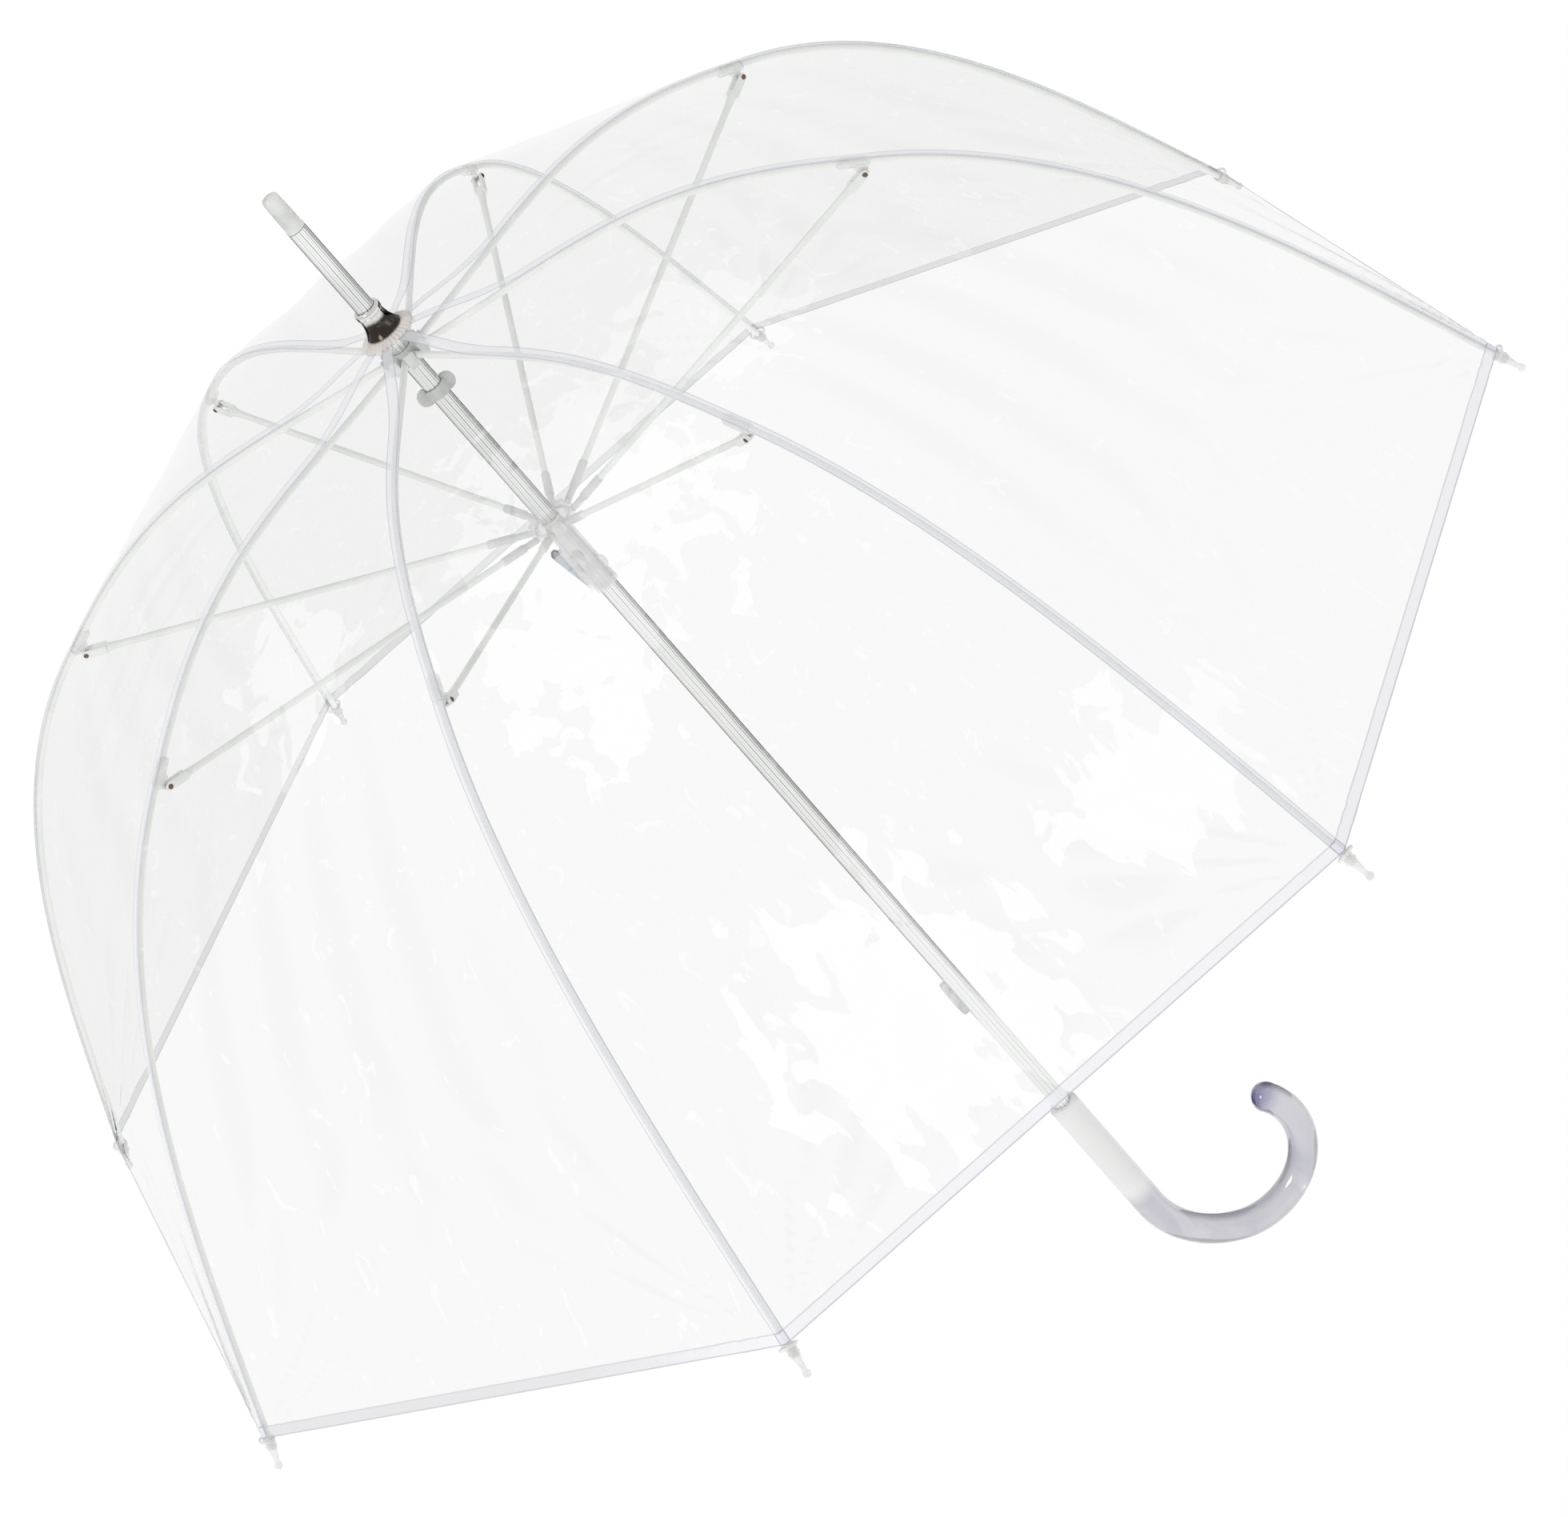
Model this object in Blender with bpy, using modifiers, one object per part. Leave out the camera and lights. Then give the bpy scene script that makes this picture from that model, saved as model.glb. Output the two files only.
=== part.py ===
"""Clear dome stick umbrella with eight ribs, an automatic runner and a crook handle.

Metres, +Z up along the shaft towards the ferrule. The origin is on the shaft's axis in
the middle of the straight grip, and the crook turns towards +X. Each rib works in its
own radial plane, where a place is given as (radius, height).
"""

import math

import bmesh
import bpy
from mathutils import Matrix, Vector

# Driving dimensions: the whole umbrella
RIB_COUNT = 8
CROWN_Z = 0.630  # the crown cup's rim above the grip's middle
HEM_RADIUS = 0.420  # the hem's corners from the shaft's axis
HEM_DROP = 0.3175  # the hem's corners below the crown cup's rim
CLEARANCE = 0.0003  # between pieces that fit or seat on each other

# Shaft and what sits on its top
SHAFT_RADIUS = 0.0049
SHAFT_WALL = 0.0007
SHAFT_ABOVE_CROWN = 0.066
SHAFT_IN_HANDLE = 0.0685
FERRULE_LENGTH = 0.021
FERRULE_TAPER = 0.0006  # how much thinner than the shaft the cap's end is
FERRULE_FLAT_RADIUS = 0.0026
FERRULE_PLUG_LENGTH = 0.006
FERRULE_EDGE = 0.0015  # how far its rounded end reaches down
FERRULE_FOOT = 0.0010  # its straight part next to the shaft
CUP_HEIGHT = 0.014
CUP_NECK_WALL = 0.0013
CUP_FLARE = 0.0031  # the rim's radius past the neck's
CUP_WALL = 0.0007
CUP_COLLAR_HEIGHT = 0.0035
CUP_COLLAR_LIP = 0.0003
CUP_FLARE_POWER = 2.2
ROSETTE_REACH = 0.0049  # past the cup's rim
ROSETTE_THICKNESS = 0.0010
ROSETTE_SLOPE = 0.0026  # how far its outer edge hangs below its inner one

# Ribs, and the notch that they hinge on
RIB_RADIUS = 0.0017
NOTCH_DROP = 0.017  # the ribs' hinge wire below the crown cup's rim
NOTCH_REACH = 0.0051  # the hinge wire outside the shaft's surface
NOTCH_RIM = 0.0022  # notch outside its wire
NOTCH_HALF_HEIGHT = 0.0040
RIB_TAIL = 0.0017  # rib behind its hinge wire
WIRE_RADIUS = 0.0005
RIB_ROOT_SLOPE = 0.0  # degrees below the horizontal, at the notch
RIB_ELBOW_SLOPE = 29.0  # at the bracket
RIB_TIP_SLOPE = 65.5  # at the hem
ELBOW_RADIUS = 0.235  # the bracket's place on the rib
ELBOW_DROP = 0.057

# Bracket that joins rib and stretcher
PIN_RADIUS = 0.0009
SADDLE_BACK = 0.013  # saddle from its pin towards the crown
SADDLE_FRONT = 0.003
SADDLE_WALL = 0.0009
SADDLE_FLOOR = 0.0010
SADDLE_LIP = 0.0010  # saddle above the rib's centre line
LUG_HALF_WIDTH = 0.0010
LUG_RADIUS = 0.0022
LUG_EYE_SHARE = 0.96  # the eye's width in shares of the lug's
FLEX_GAP = 0.0015  # saddle's end to the lower rib's end

# Stretcher
STRETCHER_RADIUS = 0.0016
FORK_LENGTH = 0.018
FORK_WIDTH = 0.0062
FORK_DEPTH = 0.0042
FORK_BEHIND_PIN = 0.0017
FORK_SLOT_LENGTH = 0.0085
FORK_END_SHARE = 2.2  # the fork's narrow end in shares of the rod's radius
ROD_START_SHARE = 0.75  # where the rod starts, as a share of the fork's length

# Tip cap on each rib's end
RIB_BEYOND_HEM = 0.007
CAP_LENGTH = 0.018
CAP_WALL = 0.0009
CAP_BALL_RADIUS = 0.0020
CAP_NECK_RADIUS = 0.0012
CAP_SOCKET_LENGTH = 0.0085
CAP_SOCKET_SHARE = 0.6  # the socket's straight part
CAP_TAPER_SHARE = 1.5  # the taper's thin end in shares of the neck's radius

# Film canopy
FILM_THICKNESS = 0.0006
FILM_CROWN_REACH = 0.0013  # the film's top edge outside the shaft's surface
FILM_CROWN_DROP = 0.0036  # film's top edge below the cup's rim
FILM_DIP_RADIUS = 0.045  # where the film comes down onto the ribs

# Runner, its wire and the stop above it
RUNNER_DROP = 0.1335  # the open runner's wire below the crown cup's rim
RUNNER_RIM = 0.0028  # the runner's ring outside its wire
RUNNER_RING_HALF_HEIGHT = 0.0026
RUNNER_WIRE_REACH = 0.0051
RUNNER_SLEEVE_WALL = 0.0011
RUNNER_SLEEVE_LENGTH = 0.0445
RUNNER_BORE_GAP = 0.0005
STRETCHER_END_REACH = 0.0076  # the stretcher's inner end outside the shaft's surface
HOOD_TOP = 0.015  # the runner's thumb hood below its wire
HOOD_BOTTOM = 0.040
HOOD_REACH = 0.0070
HOOD_HALF_WIDTH = 0.0026
HOOD_FOOT = 0.0012  # the hood's bottom end outside the sleeve
BUMP_DROP = 0.034
BUMP_RADIUS = 0.0034
BUMP_FLATTENING = 0.45
SLEEVE_LIP = 0.0003
SLEEVE_LIP_HEIGHT = 0.0010
STOP_DROP = 0.041
STOP_HEIGHT = 0.006
STOP_WALL = 0.0010
STOP_EAR_REACH = 0.0013  # the ears' middle outside the shaft's surface
STOP_EAR_RADIUS = 0.0045
STOP_EAR_HALF_WIDTH = 0.0015

# Drive spring and the key that it pushes
KEY_DROP = 0.040
KEY_HALF_WIDTH = 0.0009
KEY_HALF_HEIGHT = 0.0015
KEY_DEPTH = 0.0030  # key inside the shaft's surface
SPRING_GAP = 0.0020  # the coil's centre line inside the shaft's bore
SPRING_WIRE_RADIUS = 0.00035
SPRING_TURNS = 22

# Release button
BUTTON_ABOVE_GRIP = 0.094
BUTTON_LENGTH = 0.024
BUTTON_HALF_WIDTH = 0.0018
BUTTON_PROUD = 0.0037
BUTTON_INSIDE = 0.0004
BUTTON_ROUNDING = 0.0009
CATCH_RISE = 0.0186  # the closed runner's wire above the button's middle

# Crook handle
HANDLE_RADIUS = 0.0083
GRIP_TOP = 0.043
GRIP_BOTTOM = 0.0437
LEAD_RADIUS = 0.060  # the crook's first, wider bend
LEAD_ANGLE = 60.0
CROOK_RADIUS = 0.0395
CROOK_ANGLE = 161.0
GRIP_EDGE = ((0, 0.86), (0.0006, 0.95), (0.0016, 1.0))  # drop and share of the radius

# Shares of the chord for the two rib curves' handles
UPPER_BEND_SHARE = 0.42
LOWER_BEND_SHARE = 0.335

# Fineness
ROUND_SIDES = 24
SMALL_SIDES = 12
PIN_SIDES = 8
CUP_STEPS = 6
CAP_BALL_STEPS = 5
LEAD_STEPS = 5
CROOK_STEPS = 12
ROUND_END_STEPS = 4
DIP_POINTS = 2
WELD_DISTANCE = 0.00001
TURNED_WELD_DISTANCE = 0.00005
SMOOTH_ANGLE = 35
RIB_STEPS = 8
FILM_ACROSS = 2
SPRING_POINTS_PER_TURN = 8

# Worked out from the sizes above
SHAFT_BORE = SHAFT_RADIUS - SHAFT_WALL
SHAFT_TOP = CROWN_Z + SHAFT_ABOVE_CROWN
SHAFT_BOTTOM = GRIP_TOP - SHAFT_IN_HANDLE
FIT_RADIUS = SHAFT_RADIUS + CLEARANCE
FERRULE_END_RADIUS = SHAFT_RADIUS - FERRULE_TAPER
CUP_NECK_RADIUS = FIT_RADIUS + CUP_NECK_WALL
CUP_RIM_RADIUS = CUP_NECK_RADIUS + CUP_FLARE
ROSETTE_RADIUS = CUP_RIM_RADIUS + ROSETTE_REACH
FILM_CROWN_RADIUS = SHAFT_RADIUS + FILM_CROWN_REACH
NOTCH_Z = CROWN_Z - NOTCH_DROP
NOTCH_PIVOT_RADIUS = SHAFT_RADIUS + NOTCH_REACH
NOTCH_RADIUS = NOTCH_PIVOT_RADIUS + NOTCH_RIM
RUNNER_Z = CROWN_Z - RUNNER_DROP
RUNNER_BORE = SHAFT_RADIUS + RUNNER_BORE_GAP
SLEEVE_RADIUS = RUNNER_BORE + RUNNER_SLEEVE_WALL
RUNNER_WIRE_RING = SHAFT_RADIUS + RUNNER_WIRE_REACH
RUNNER_RING_RADIUS = RUNNER_WIRE_RING + RUNNER_RIM
STRETCHER_END_RADIUS = SHAFT_RADIUS + STRETCHER_END_REACH
RIB_FIT = RIB_RADIUS + CLEARANCE
FORK_CORNER = math.hypot(FORK_BEHIND_PIN, FORK_DEPTH / 2)
PIN_DROP = RIB_FIT + SADDLE_FLOOR + FORK_CORNER + CLEARANCE  # below the rib's centre line
WIRE_FIT = WIRE_RADIUS + CLEARANCE
RIB_SLOT = 2 * RIB_RADIUS + 2 * CLEARANCE
STRETCHER_SLOT = 2 * STRETCHER_RADIUS + 2 * CLEARANCE
FILM_OFFSET = RIB_FIT / math.cos(math.pi / RIB_COUNT) + FILM_THICKNESS
SPRING_RADIUS = SHAFT_BORE - SPRING_GAP
BUTTON_Z = GRIP_TOP + BUTTON_ABOVE_GRIP
CLOSED_TRAVEL = RUNNER_Z - BUTTON_Z - CATCH_RISE  # the runner's way from open to closed
RIB_PHASE = 180 / RIB_COUNT
BOX_REACH = 0.1  # how far a cutter runs past what it cuts


def slope(angle):
    """Unit vector in a rib's plane that points outwards and the angle below the horizontal."""
    a = math.radians(angle)
    return Vector((math.cos(a), 0, -math.sin(a)))


def normal_of(direction):
    """The direction turned to point away from the space under the canopy."""
    return Vector((-direction.z, 0, direction.x))


def bezier(start, start_way, end, end_way, share):
    """Point and direction on a cubic whose handles are the stated share of its chord."""
    handle = share * (end - start).length
    a, b = start + handle * start_way, end - handle * end_way

    def at(t):
        u = 1 - t
        place = u**3 * start + 3 * u * u * t * a + 3 * u * t * t * b + t**3 * end
        way = u * u * (a - start) + 2 * u * t * (b - a) + t * t * (end - b)
        return place, way.normalized()

    return at


# The rib's centre line: a bend, the straight stretch in the bracket, and a second bend
NOTCH_PLACE = Vector((NOTCH_PIVOT_RADIUS, 0, NOTCH_Z))
ELBOW_PLACE = Vector((ELBOW_RADIUS, 0, CROWN_Z - ELBOW_DROP))
ELBOW_WAY = slope(RIB_ELBOW_SLOPE)
HEM_PLACE = Vector((HEM_RADIUS, 0, CROWN_Z - HEM_DROP))
HEM_WAY = slope(RIB_TIP_SLOPE)
PIN_PLACE = ELBOW_PLACE - PIN_DROP * normal_of(ELBOW_WAY)
BEND_END = ELBOW_PLACE - SADDLE_BACK * ELBOW_WAY
FLEX_PLACE = ELBOW_PLACE + (SADDLE_FRONT + FLEX_GAP) * ELBOW_WAY
STRETCHER_END = Vector((STRETCHER_END_RADIUS, 0, RUNNER_Z))
upper_bend = bezier(NOTCH_PLACE, slope(RIB_ROOT_SLOPE), BEND_END, ELBOW_WAY, UPPER_BEND_SHARE)
lower_bend = bezier(FLEX_PLACE, ELBOW_WAY, HEM_PLACE, HEM_WAY, LOWER_BEND_SHARE)


def rib_angles():
    """The azimuth of each rib."""
    return [math.radians(RIB_PHASE + 360 * i / RIB_COUNT) for i in range(RIB_COUNT)]


# Blender helpers


def clear_scene():
    """Removes every object that the file starts with."""
    for obj in list(bpy.data.objects):
        bpy.data.objects.remove(obj)


def new_collection(name):
    """A collection of that name in the scene."""
    found = bpy.data.collections.new(name)
    bpy.context.scene.collection.children.link(found)
    return found


def principled(name, colour, roughness, metallic=0.0, alpha=1.0):
    """A material with that colour, roughness, metallic value and alpha."""
    found = bpy.data.materials.new(name)
    found.use_nodes = True
    shader = found.node_tree.nodes["Principled BSDF"]
    shader.inputs["Base Color"].default_value = (*colour, 1)
    shader.inputs["Roughness"].default_value = roughness
    shader.inputs["Metallic"].default_value = metallic
    shader.inputs["Alpha"].default_value = alpha
    return found


def place(mesh, name, collection, material, matrix=None):
    """An object of that mesh in the collection, shaded smooth where its faces nearly meet."""
    obj = bpy.data.objects.new(name, mesh)
    collection.objects.link(obj)
    if material and not mesh.materials:
        mesh.materials.append(material)
    if matrix is not None:
        obj.matrix_world = matrix
    return obj


def smooth(mesh, angle=SMOOTH_ANGLE):
    """Shades a mesh smooth, with sharp edges past that angle."""
    mesh.shade_smooth()
    mesh.set_sharp_from_angle(angle=math.radians(angle))
    return mesh


def mesh_from(build, name):
    """The mesh that a function makes in an empty bmesh."""
    bm = bmesh.new()
    build(bm)
    mesh = bpy.data.meshes.new(name)
    bm.to_mesh(mesh)
    bm.free()
    return mesh


def box_mesh(name, low, high, taper=None):
    """A box between two corners. taper is the share of width and depth at its +X end."""
    size, middle = high - low, (high + low) / 2

    def build(bm):
        bmesh.ops.create_cube(bm, size=1)
        for v in bm.verts:
            share = Vector((1, *taper)) if taper and v.co.x > 0 else Vector((1, 1, 1))
            v.co = middle + v.co * size * share

    return mesh_from(build, name)


def rod_mesh(name, radius, start, end, sides=SMALL_SIDES, end_radius=None):
    """A round rod, or a cone, between two points."""
    way = end - start
    turn = way.to_track_quat("Z", "Y").to_matrix().to_4x4()
    where = Matrix.Translation((start + end) / 2) @ turn

    def build(bm):
        bmesh.ops.create_cone(
            bm,
            cap_ends=True,
            segments=sides,
            radius1=radius,
            radius2=radius if end_radius is None else end_radius,
            depth=way.length,
            matrix=where,
        )

    return mesh_from(build, name)


def upright_rod(name, radius, low, high):
    """A round rod on the Z axis between two heights."""
    return rod_mesh(name, radius, Vector((0, 0, low)), Vector((0, 0, high)), ROUND_SIDES)


def torus_mesh(name, ring_radius, wire_radius, z=0.0, sides=6):
    """A ring of round wire about the Z axis."""
    bpy.ops.mesh.primitive_torus_add(
        major_radius=ring_radius,
        minor_radius=wire_radius,
        major_segments=4 * RIB_COUNT,
        minor_segments=sides,
        location=(0, 0, 0),
    )
    obj = bpy.context.object
    mesh = obj.data
    bpy.data.objects.remove(obj)
    mesh.transform(Matrix.Translation((0, 0, z)))
    mesh.name = name
    return mesh


def finished(obj):
    """The evaluated mesh of a temporary object, which is then removed."""
    evaluated = obj.evaluated_get(bpy.context.evaluated_depsgraph_get())
    mesh = bpy.data.meshes.new_from_object(evaluated)
    mesh.name = obj.name
    bpy.data.objects.remove(obj)
    return mesh


def turned_mesh(name, profile, sides=ROUND_SIDES):
    """A profile of (radius, height) points, down its outer side, turned about Z.

    The profile is closed where it doesn't meet the axis.
    """
    closed = profile[0][0] > 0

    def build(bm):
        verts = [bm.verts.new((r, 0, z)) for r, z in profile]
        for a, b in zip(verts, verts[1:] + verts[:1] if closed else verts[1:]):
            bm.edges.new((a, b))

    obj = place(mesh_from(build, name), name, bpy.context.scene.collection, None)
    screw = obj.modifiers.new("Turn", "SCREW")
    screw.steps = screw.render_steps = sides
    screw.use_merge_vertices = True
    screw.merge_threshold = TURNED_WELD_DISTANCE
    return finished(obj)


def tube_mesh(name, points, radius, radii=None, fineness=2):
    """A round tube through points, as a curve with filled caps made a welded mesh."""
    curve = bpy.data.curves.new(name, "CURVE")
    curve.dimensions = "3D"
    curve.bevel_depth = radius
    curve.bevel_resolution = fineness
    curve.use_fill_caps = True
    spline = curve.splines.new("POLY")
    spline.points.add(len(points) - 1)
    for i, (point, where) in enumerate(zip(spline.points, points)):
        point.co = (*where, 1)
        point.radius = radii[i] if radii else 1
    obj = bpy.data.objects.new(name, curve)
    bpy.context.scene.collection.objects.link(obj)
    mesh = finished(obj)
    bm = bmesh.new()
    bm.from_mesh(mesh)
    bmesh.ops.remove_doubles(bm, verts=bm.verts, dist=WELD_DISTANCE)
    bm.to_mesh(mesh)
    bm.free()
    return mesh


def combined(name, mesh, *changes):
    """A mesh after a row of ("UNION" or "DIFFERENCE", mesh) changes."""
    for operation, other in changes:
        obj = place(mesh, name, bpy.context.scene.collection, None)
        tool = place(other, "tool", bpy.context.scene.collection, None)
        change = obj.modifiers.new(operation.title(), "BOOLEAN")
        change.operation = operation
        change.object = tool
        bpy.context.view_layer.update()
        mesh = finished(obj)
        bpy.data.objects.remove(tool)
    mesh.materials.clear()
    return mesh


def cut_live(obj, mesh, name, cutters, operation="DIFFERENCE"):
    """Cuts an object with a mesh that stays in the scene as a wire guide."""
    tool = place(mesh, name, cutters, None)
    tool.hide_render = True
    tool.display_type = "WIRE"
    change = obj.modifiers.new(name, "BOOLEAN")
    change.operation = operation
    change.object = tool
    return obj


def in_rib_plane(where, angle, tilt=0.0):
    """Matrix that puts a piece at a place in the rib plane at that azimuth.

    The piece is tilted by an angle about the plane's normal.
    """
    turn = Matrix.Rotation(angle, 4, "Z")
    return turn @ Matrix.Translation(where) @ Matrix.Rotation(tilt, 4, "Y")


def tilt_of(direction):
    """The tilt that turns +X onto a direction in the rib's plane."""
    return -math.atan2(direction.z, direction.x)


def radial_slots(width, inner, half_height, z, reach):
    """One mesh of the slots that the ribs or stretchers hinge in."""

    def build(bm):
        for angle in rib_angles():
            low = Vector((inner, -width / 2, z - half_height))
            high = Vector((reach, width / 2, z + half_height))
            made = bmesh.ops.create_cube(bm, size=1)["verts"]
            for v in made:
                v.co = (low + high) / 2 + v.co * (high - low)
            bmesh.ops.rotate(bm, verts=made, matrix=Matrix.Rotation(angle, 3, "Z"))

    return mesh_from(build, "slots")


# Shaft, crown and ferrule


def make_shaft(parts, cutters):
    """The tube, with a long slot for the runner's key and a window for the button."""
    mesh = turned_mesh(
        "shaft_tube",
        [
            (SHAFT_RADIUS, SHAFT_TOP),
            (SHAFT_RADIUS, SHAFT_BOTTOM),
            (SHAFT_BORE, SHAFT_BOTTOM),
            (SHAFT_BORE, SHAFT_TOP),
        ],
    )
    steel = principled("shaft_aluminium", (0.78, 0.79, 0.79), 0.22, 1.0)
    obj = place(smooth(mesh), "shaft_tube", parts, steel)
    half = KEY_HALF_WIDTH + CLEARANCE
    low = RUNNER_Z - CLOSED_TRAVEL - KEY_DROP - KEY_HALF_HEIGHT - 2 * CLEARANCE
    high = RUNNER_Z - KEY_DROP + KEY_HALF_HEIGHT + 2 * CLEARANCE
    slot = box_mesh("key_slot", Vector((-half, SHAFT_BORE / 2, low)), Vector((half, BOX_REACH, high)))
    cut_live(obj, slot, "key_slot", cutters)
    half = BUTTON_HALF_WIDTH + CLEARANCE
    tall = BUTTON_LENGTH / 2 + CLEARANCE
    window = box_mesh(
        "button_window",
        Vector((-BOX_REACH, -half, BUTTON_Z - tall)),
        Vector((-SHAFT_BORE / 2, half, BUTTON_Z + tall)),
    )
    return cut_live(obj, window, "button_window", cutters)


def make_ferrule(parts):
    """The cap on the shaft's end, with its plug in the bore."""
    base = SHAFT_TOP + CLEARANCE
    top = base + FERRULE_LENGTH
    plug = SHAFT_BORE - CLEARANCE
    profile = [
        (0, top),
        (FERRULE_FLAT_RADIUS, top),
        ((FERRULE_FLAT_RADIUS + FERRULE_END_RADIUS) / 2, top - FERRULE_EDGE / 4),
        (FERRULE_END_RADIUS, top - FERRULE_EDGE),
        (SHAFT_RADIUS, base + FERRULE_FOOT),
        (SHAFT_RADIUS, base),
        (plug, base),
        (plug, base - FERRULE_PLUG_LENGTH),
        (0, base - FERRULE_PLUG_LENGTH),
    ]
    clear = principled("ferrule_plastic", (0.90, 0.91, 0.92), 0.15, alpha=0.8)
    return place(smooth(turned_mesh("ferrule_cap", profile)), "ferrule_cap", parts, clear)


def cup_radius(share):
    """The bell cup's outer radius, from its rim at 0 to its collar at 1."""
    return CUP_NECK_RADIUS + (CUP_RIM_RADIUS - CUP_NECK_RADIUS) * (1 - share) ** CUP_FLARE_POWER


def make_crown_cup(parts):
    """The bell-shaped cup with a collar round the shaft."""
    flare = CUP_HEIGHT - CUP_COLLAR_HEIGHT
    shares = [1 - i / CUP_STEPS for i in range(CUP_STEPS + 1)]
    collar = CUP_NECK_RADIUS + CUP_COLLAR_LIP
    outer = [(collar, CROWN_Z + CUP_HEIGHT), (collar, CROWN_Z + flare + CUP_COLLAR_LIP)]
    outer += [(cup_radius(s), CROWN_Z + flare * s) for s in shares]
    inner = [(cup_radius(s) - CUP_WALL, CROWN_Z + flare * s) for s in reversed(shares)]
    inner[-1] = (FIT_RADIUS, CROWN_Z + flare)
    profile = outer + inner + [(FIT_RADIUS, CROWN_Z + CUP_HEIGHT)]
    chrome = principled("cup_chrome", (0.30, 0.29, 0.27), 0.06, 1.0)
    return place(smooth(turned_mesh("crown_cup", profile)), "crown_cup", parts, chrome)


def make_rosette(parts):
    """The pleated washer between cup and film, here as a shallow cone."""
    top = CROWN_Z - CLEARANCE
    rim_half = ROSETTE_THICKNESS / 2
    profile = [
        (ROSETTE_RADIUS, top - ROSETTE_SLOPE),
        (ROSETTE_RADIUS, top - ROSETTE_SLOPE - rim_half),
        (FIT_RADIUS, top - ROSETTE_THICKNESS),
        (FIT_RADIUS, top),
        (CUP_RIM_RADIUS, top),
    ]
    film = principled("rosette_film", (0.93, 0.90, 0.89), 0.3, alpha=0.7)
    return place(smooth(turned_mesh("crown_rosette", profile)), "crown_rosette", parts, film)


def hinge_ring(name, radius, bore, z, half_height, wire_ring, slot_width, behind_wire):
    """A slotted ring with a tunnel for its wire. The slots run on behind the wire by that much."""
    profile = [
        (radius, z + half_height),
        (radius, z - half_height),
        (bore, z - half_height),
        (bore, z + half_height),
    ]
    slots = radial_slots(slot_width, wire_ring - behind_wire, 2 * half_height, z, BOX_REACH)
    tunnel = torus_mesh("tunnel", wire_ring, WIRE_FIT, z)
    ring = turned_mesh(name, profile, 4 * RIB_COUNT)
    return combined(name, ring, ("DIFFERENCE", slots), ("DIFFERENCE", tunnel))


def make_notch(parts):
    """The hub that the ribs hinge on, and its wire."""
    mesh = hinge_ring(
        "top_notch",
        NOTCH_RADIUS,
        FIT_RADIUS,
        NOTCH_Z,
        NOTCH_HALF_HEIGHT,
        NOTCH_PIVOT_RADIUS,
        RIB_SLOT,
        math.hypot(RIB_TAIL, RIB_RADIUS) + CLEARANCE,
    )
    plastic = principled("notch_plastic", (0.86, 0.86, 0.85), 0.35)
    place(smooth(mesh), "top_notch", parts, plastic)
    wire = torus_mesh("notch_wire", NOTCH_PIVOT_RADIUS, WIRE_RADIUS, NOTCH_Z)
    steel = principled("notch_wire_steel", (0.6, 0.6, 0.6), 0.3, 1.0)
    place(smooth(wire), "notch_wire", parts, steel)


def make_stop_collar(parts):
    """The clamped stop below the notch, with two rounded ears."""
    z = CROWN_Z - STOP_DROP
    half = STOP_HEIGHT / 2
    outer = FIT_RADIUS + STOP_WALL
    ring = upright_rod("stop", outer, z - half, z + half)
    bore = upright_rod("bore", FIT_RADIUS, z - STOP_HEIGHT, z + STOP_HEIGHT)
    changes = []
    for side in (-1, 1):
        middle = Vector((side * (SHAFT_RADIUS + STOP_EAR_REACH), 0, z))
        wide = Vector((0, STOP_EAR_HALF_WIDTH, 0))
        changes.append(("UNION", rod_mesh("ear", STOP_EAR_RADIUS, middle - wide, middle + wide)))
    mesh = combined("stop_collar", ring, *changes, ("DIFFERENCE", bore))
    plastic = principled("stop_plastic", (0.80, 0.80, 0.79), 0.35, alpha=0.8)
    return place(smooth(mesh), "stop_collar", parts, plastic)


# Runner


def sleeve_mesh(bore, low):
    """The runner's sleeve, with a small lip at its bottom end."""
    high = RUNNER_Z - RUNNER_RING_HALF_HEIGHT / 2
    profile = [
        (SLEEVE_RADIUS, high),
        (SLEEVE_RADIUS, low + SLEEVE_LIP_HEIGHT),
        (SLEEVE_RADIUS + SLEEVE_LIP, low),
        (bore, low),
        (bore, high),
    ]
    return turned_mesh("sleeve", profile)


def bump_mesh():
    """The flattened ball on the sleeve's side opposite the hood."""
    where = Vector((SLEEVE_RADIUS, 0, RUNNER_Z - BUMP_DROP))

    def build(bm):
        bmesh.ops.create_uvsphere(bm, u_segments=10, v_segments=6, radius=BUMP_RADIUS)
        for v in bm.verts:
            v.co.x *= BUMP_FLATTENING
            v.co += where

    return mesh_from(build, "bump")


def hood_mesh():
    """The thumb hood: a wedge on the sleeve, widest at its top."""
    top = Vector((-SHAFT_RADIUS - HOOD_REACH, -HOOD_HALF_WIDTH, RUNNER_Z - HOOD_BOTTOM))
    root = Vector((-RUNNER_BORE - CLEARANCE, HOOD_HALF_WIDTH, RUNNER_Z - HOOD_TOP))
    hood = box_mesh("hood", top, root)
    for v in hood.vertices:
        if v.co.x < -SLEEVE_RADIUS and v.co.z < RUNNER_Z - HOOD_TOP - CLEARANCE:
            v.co.x = -SLEEVE_RADIUS - HOOD_FOOT
    return hood


def channel_mesh(low):
    """The cutter for the slot that the release button stands in when it is closed."""
    half = BUTTON_HALF_WIDTH + CLEARANCE
    top = RUNNER_Z - CATCH_RISE + BUTTON_LENGTH / 2 + 4 * CLEARANCE
    return box_mesh(
        "channel",
        Vector((-SHAFT_RADIUS - BUTTON_PROUD - CLEARANCE, -half, low - BOX_REACH / 10)),
        Vector((-RUNNER_BORE / 2, half, top)),
    )


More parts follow.
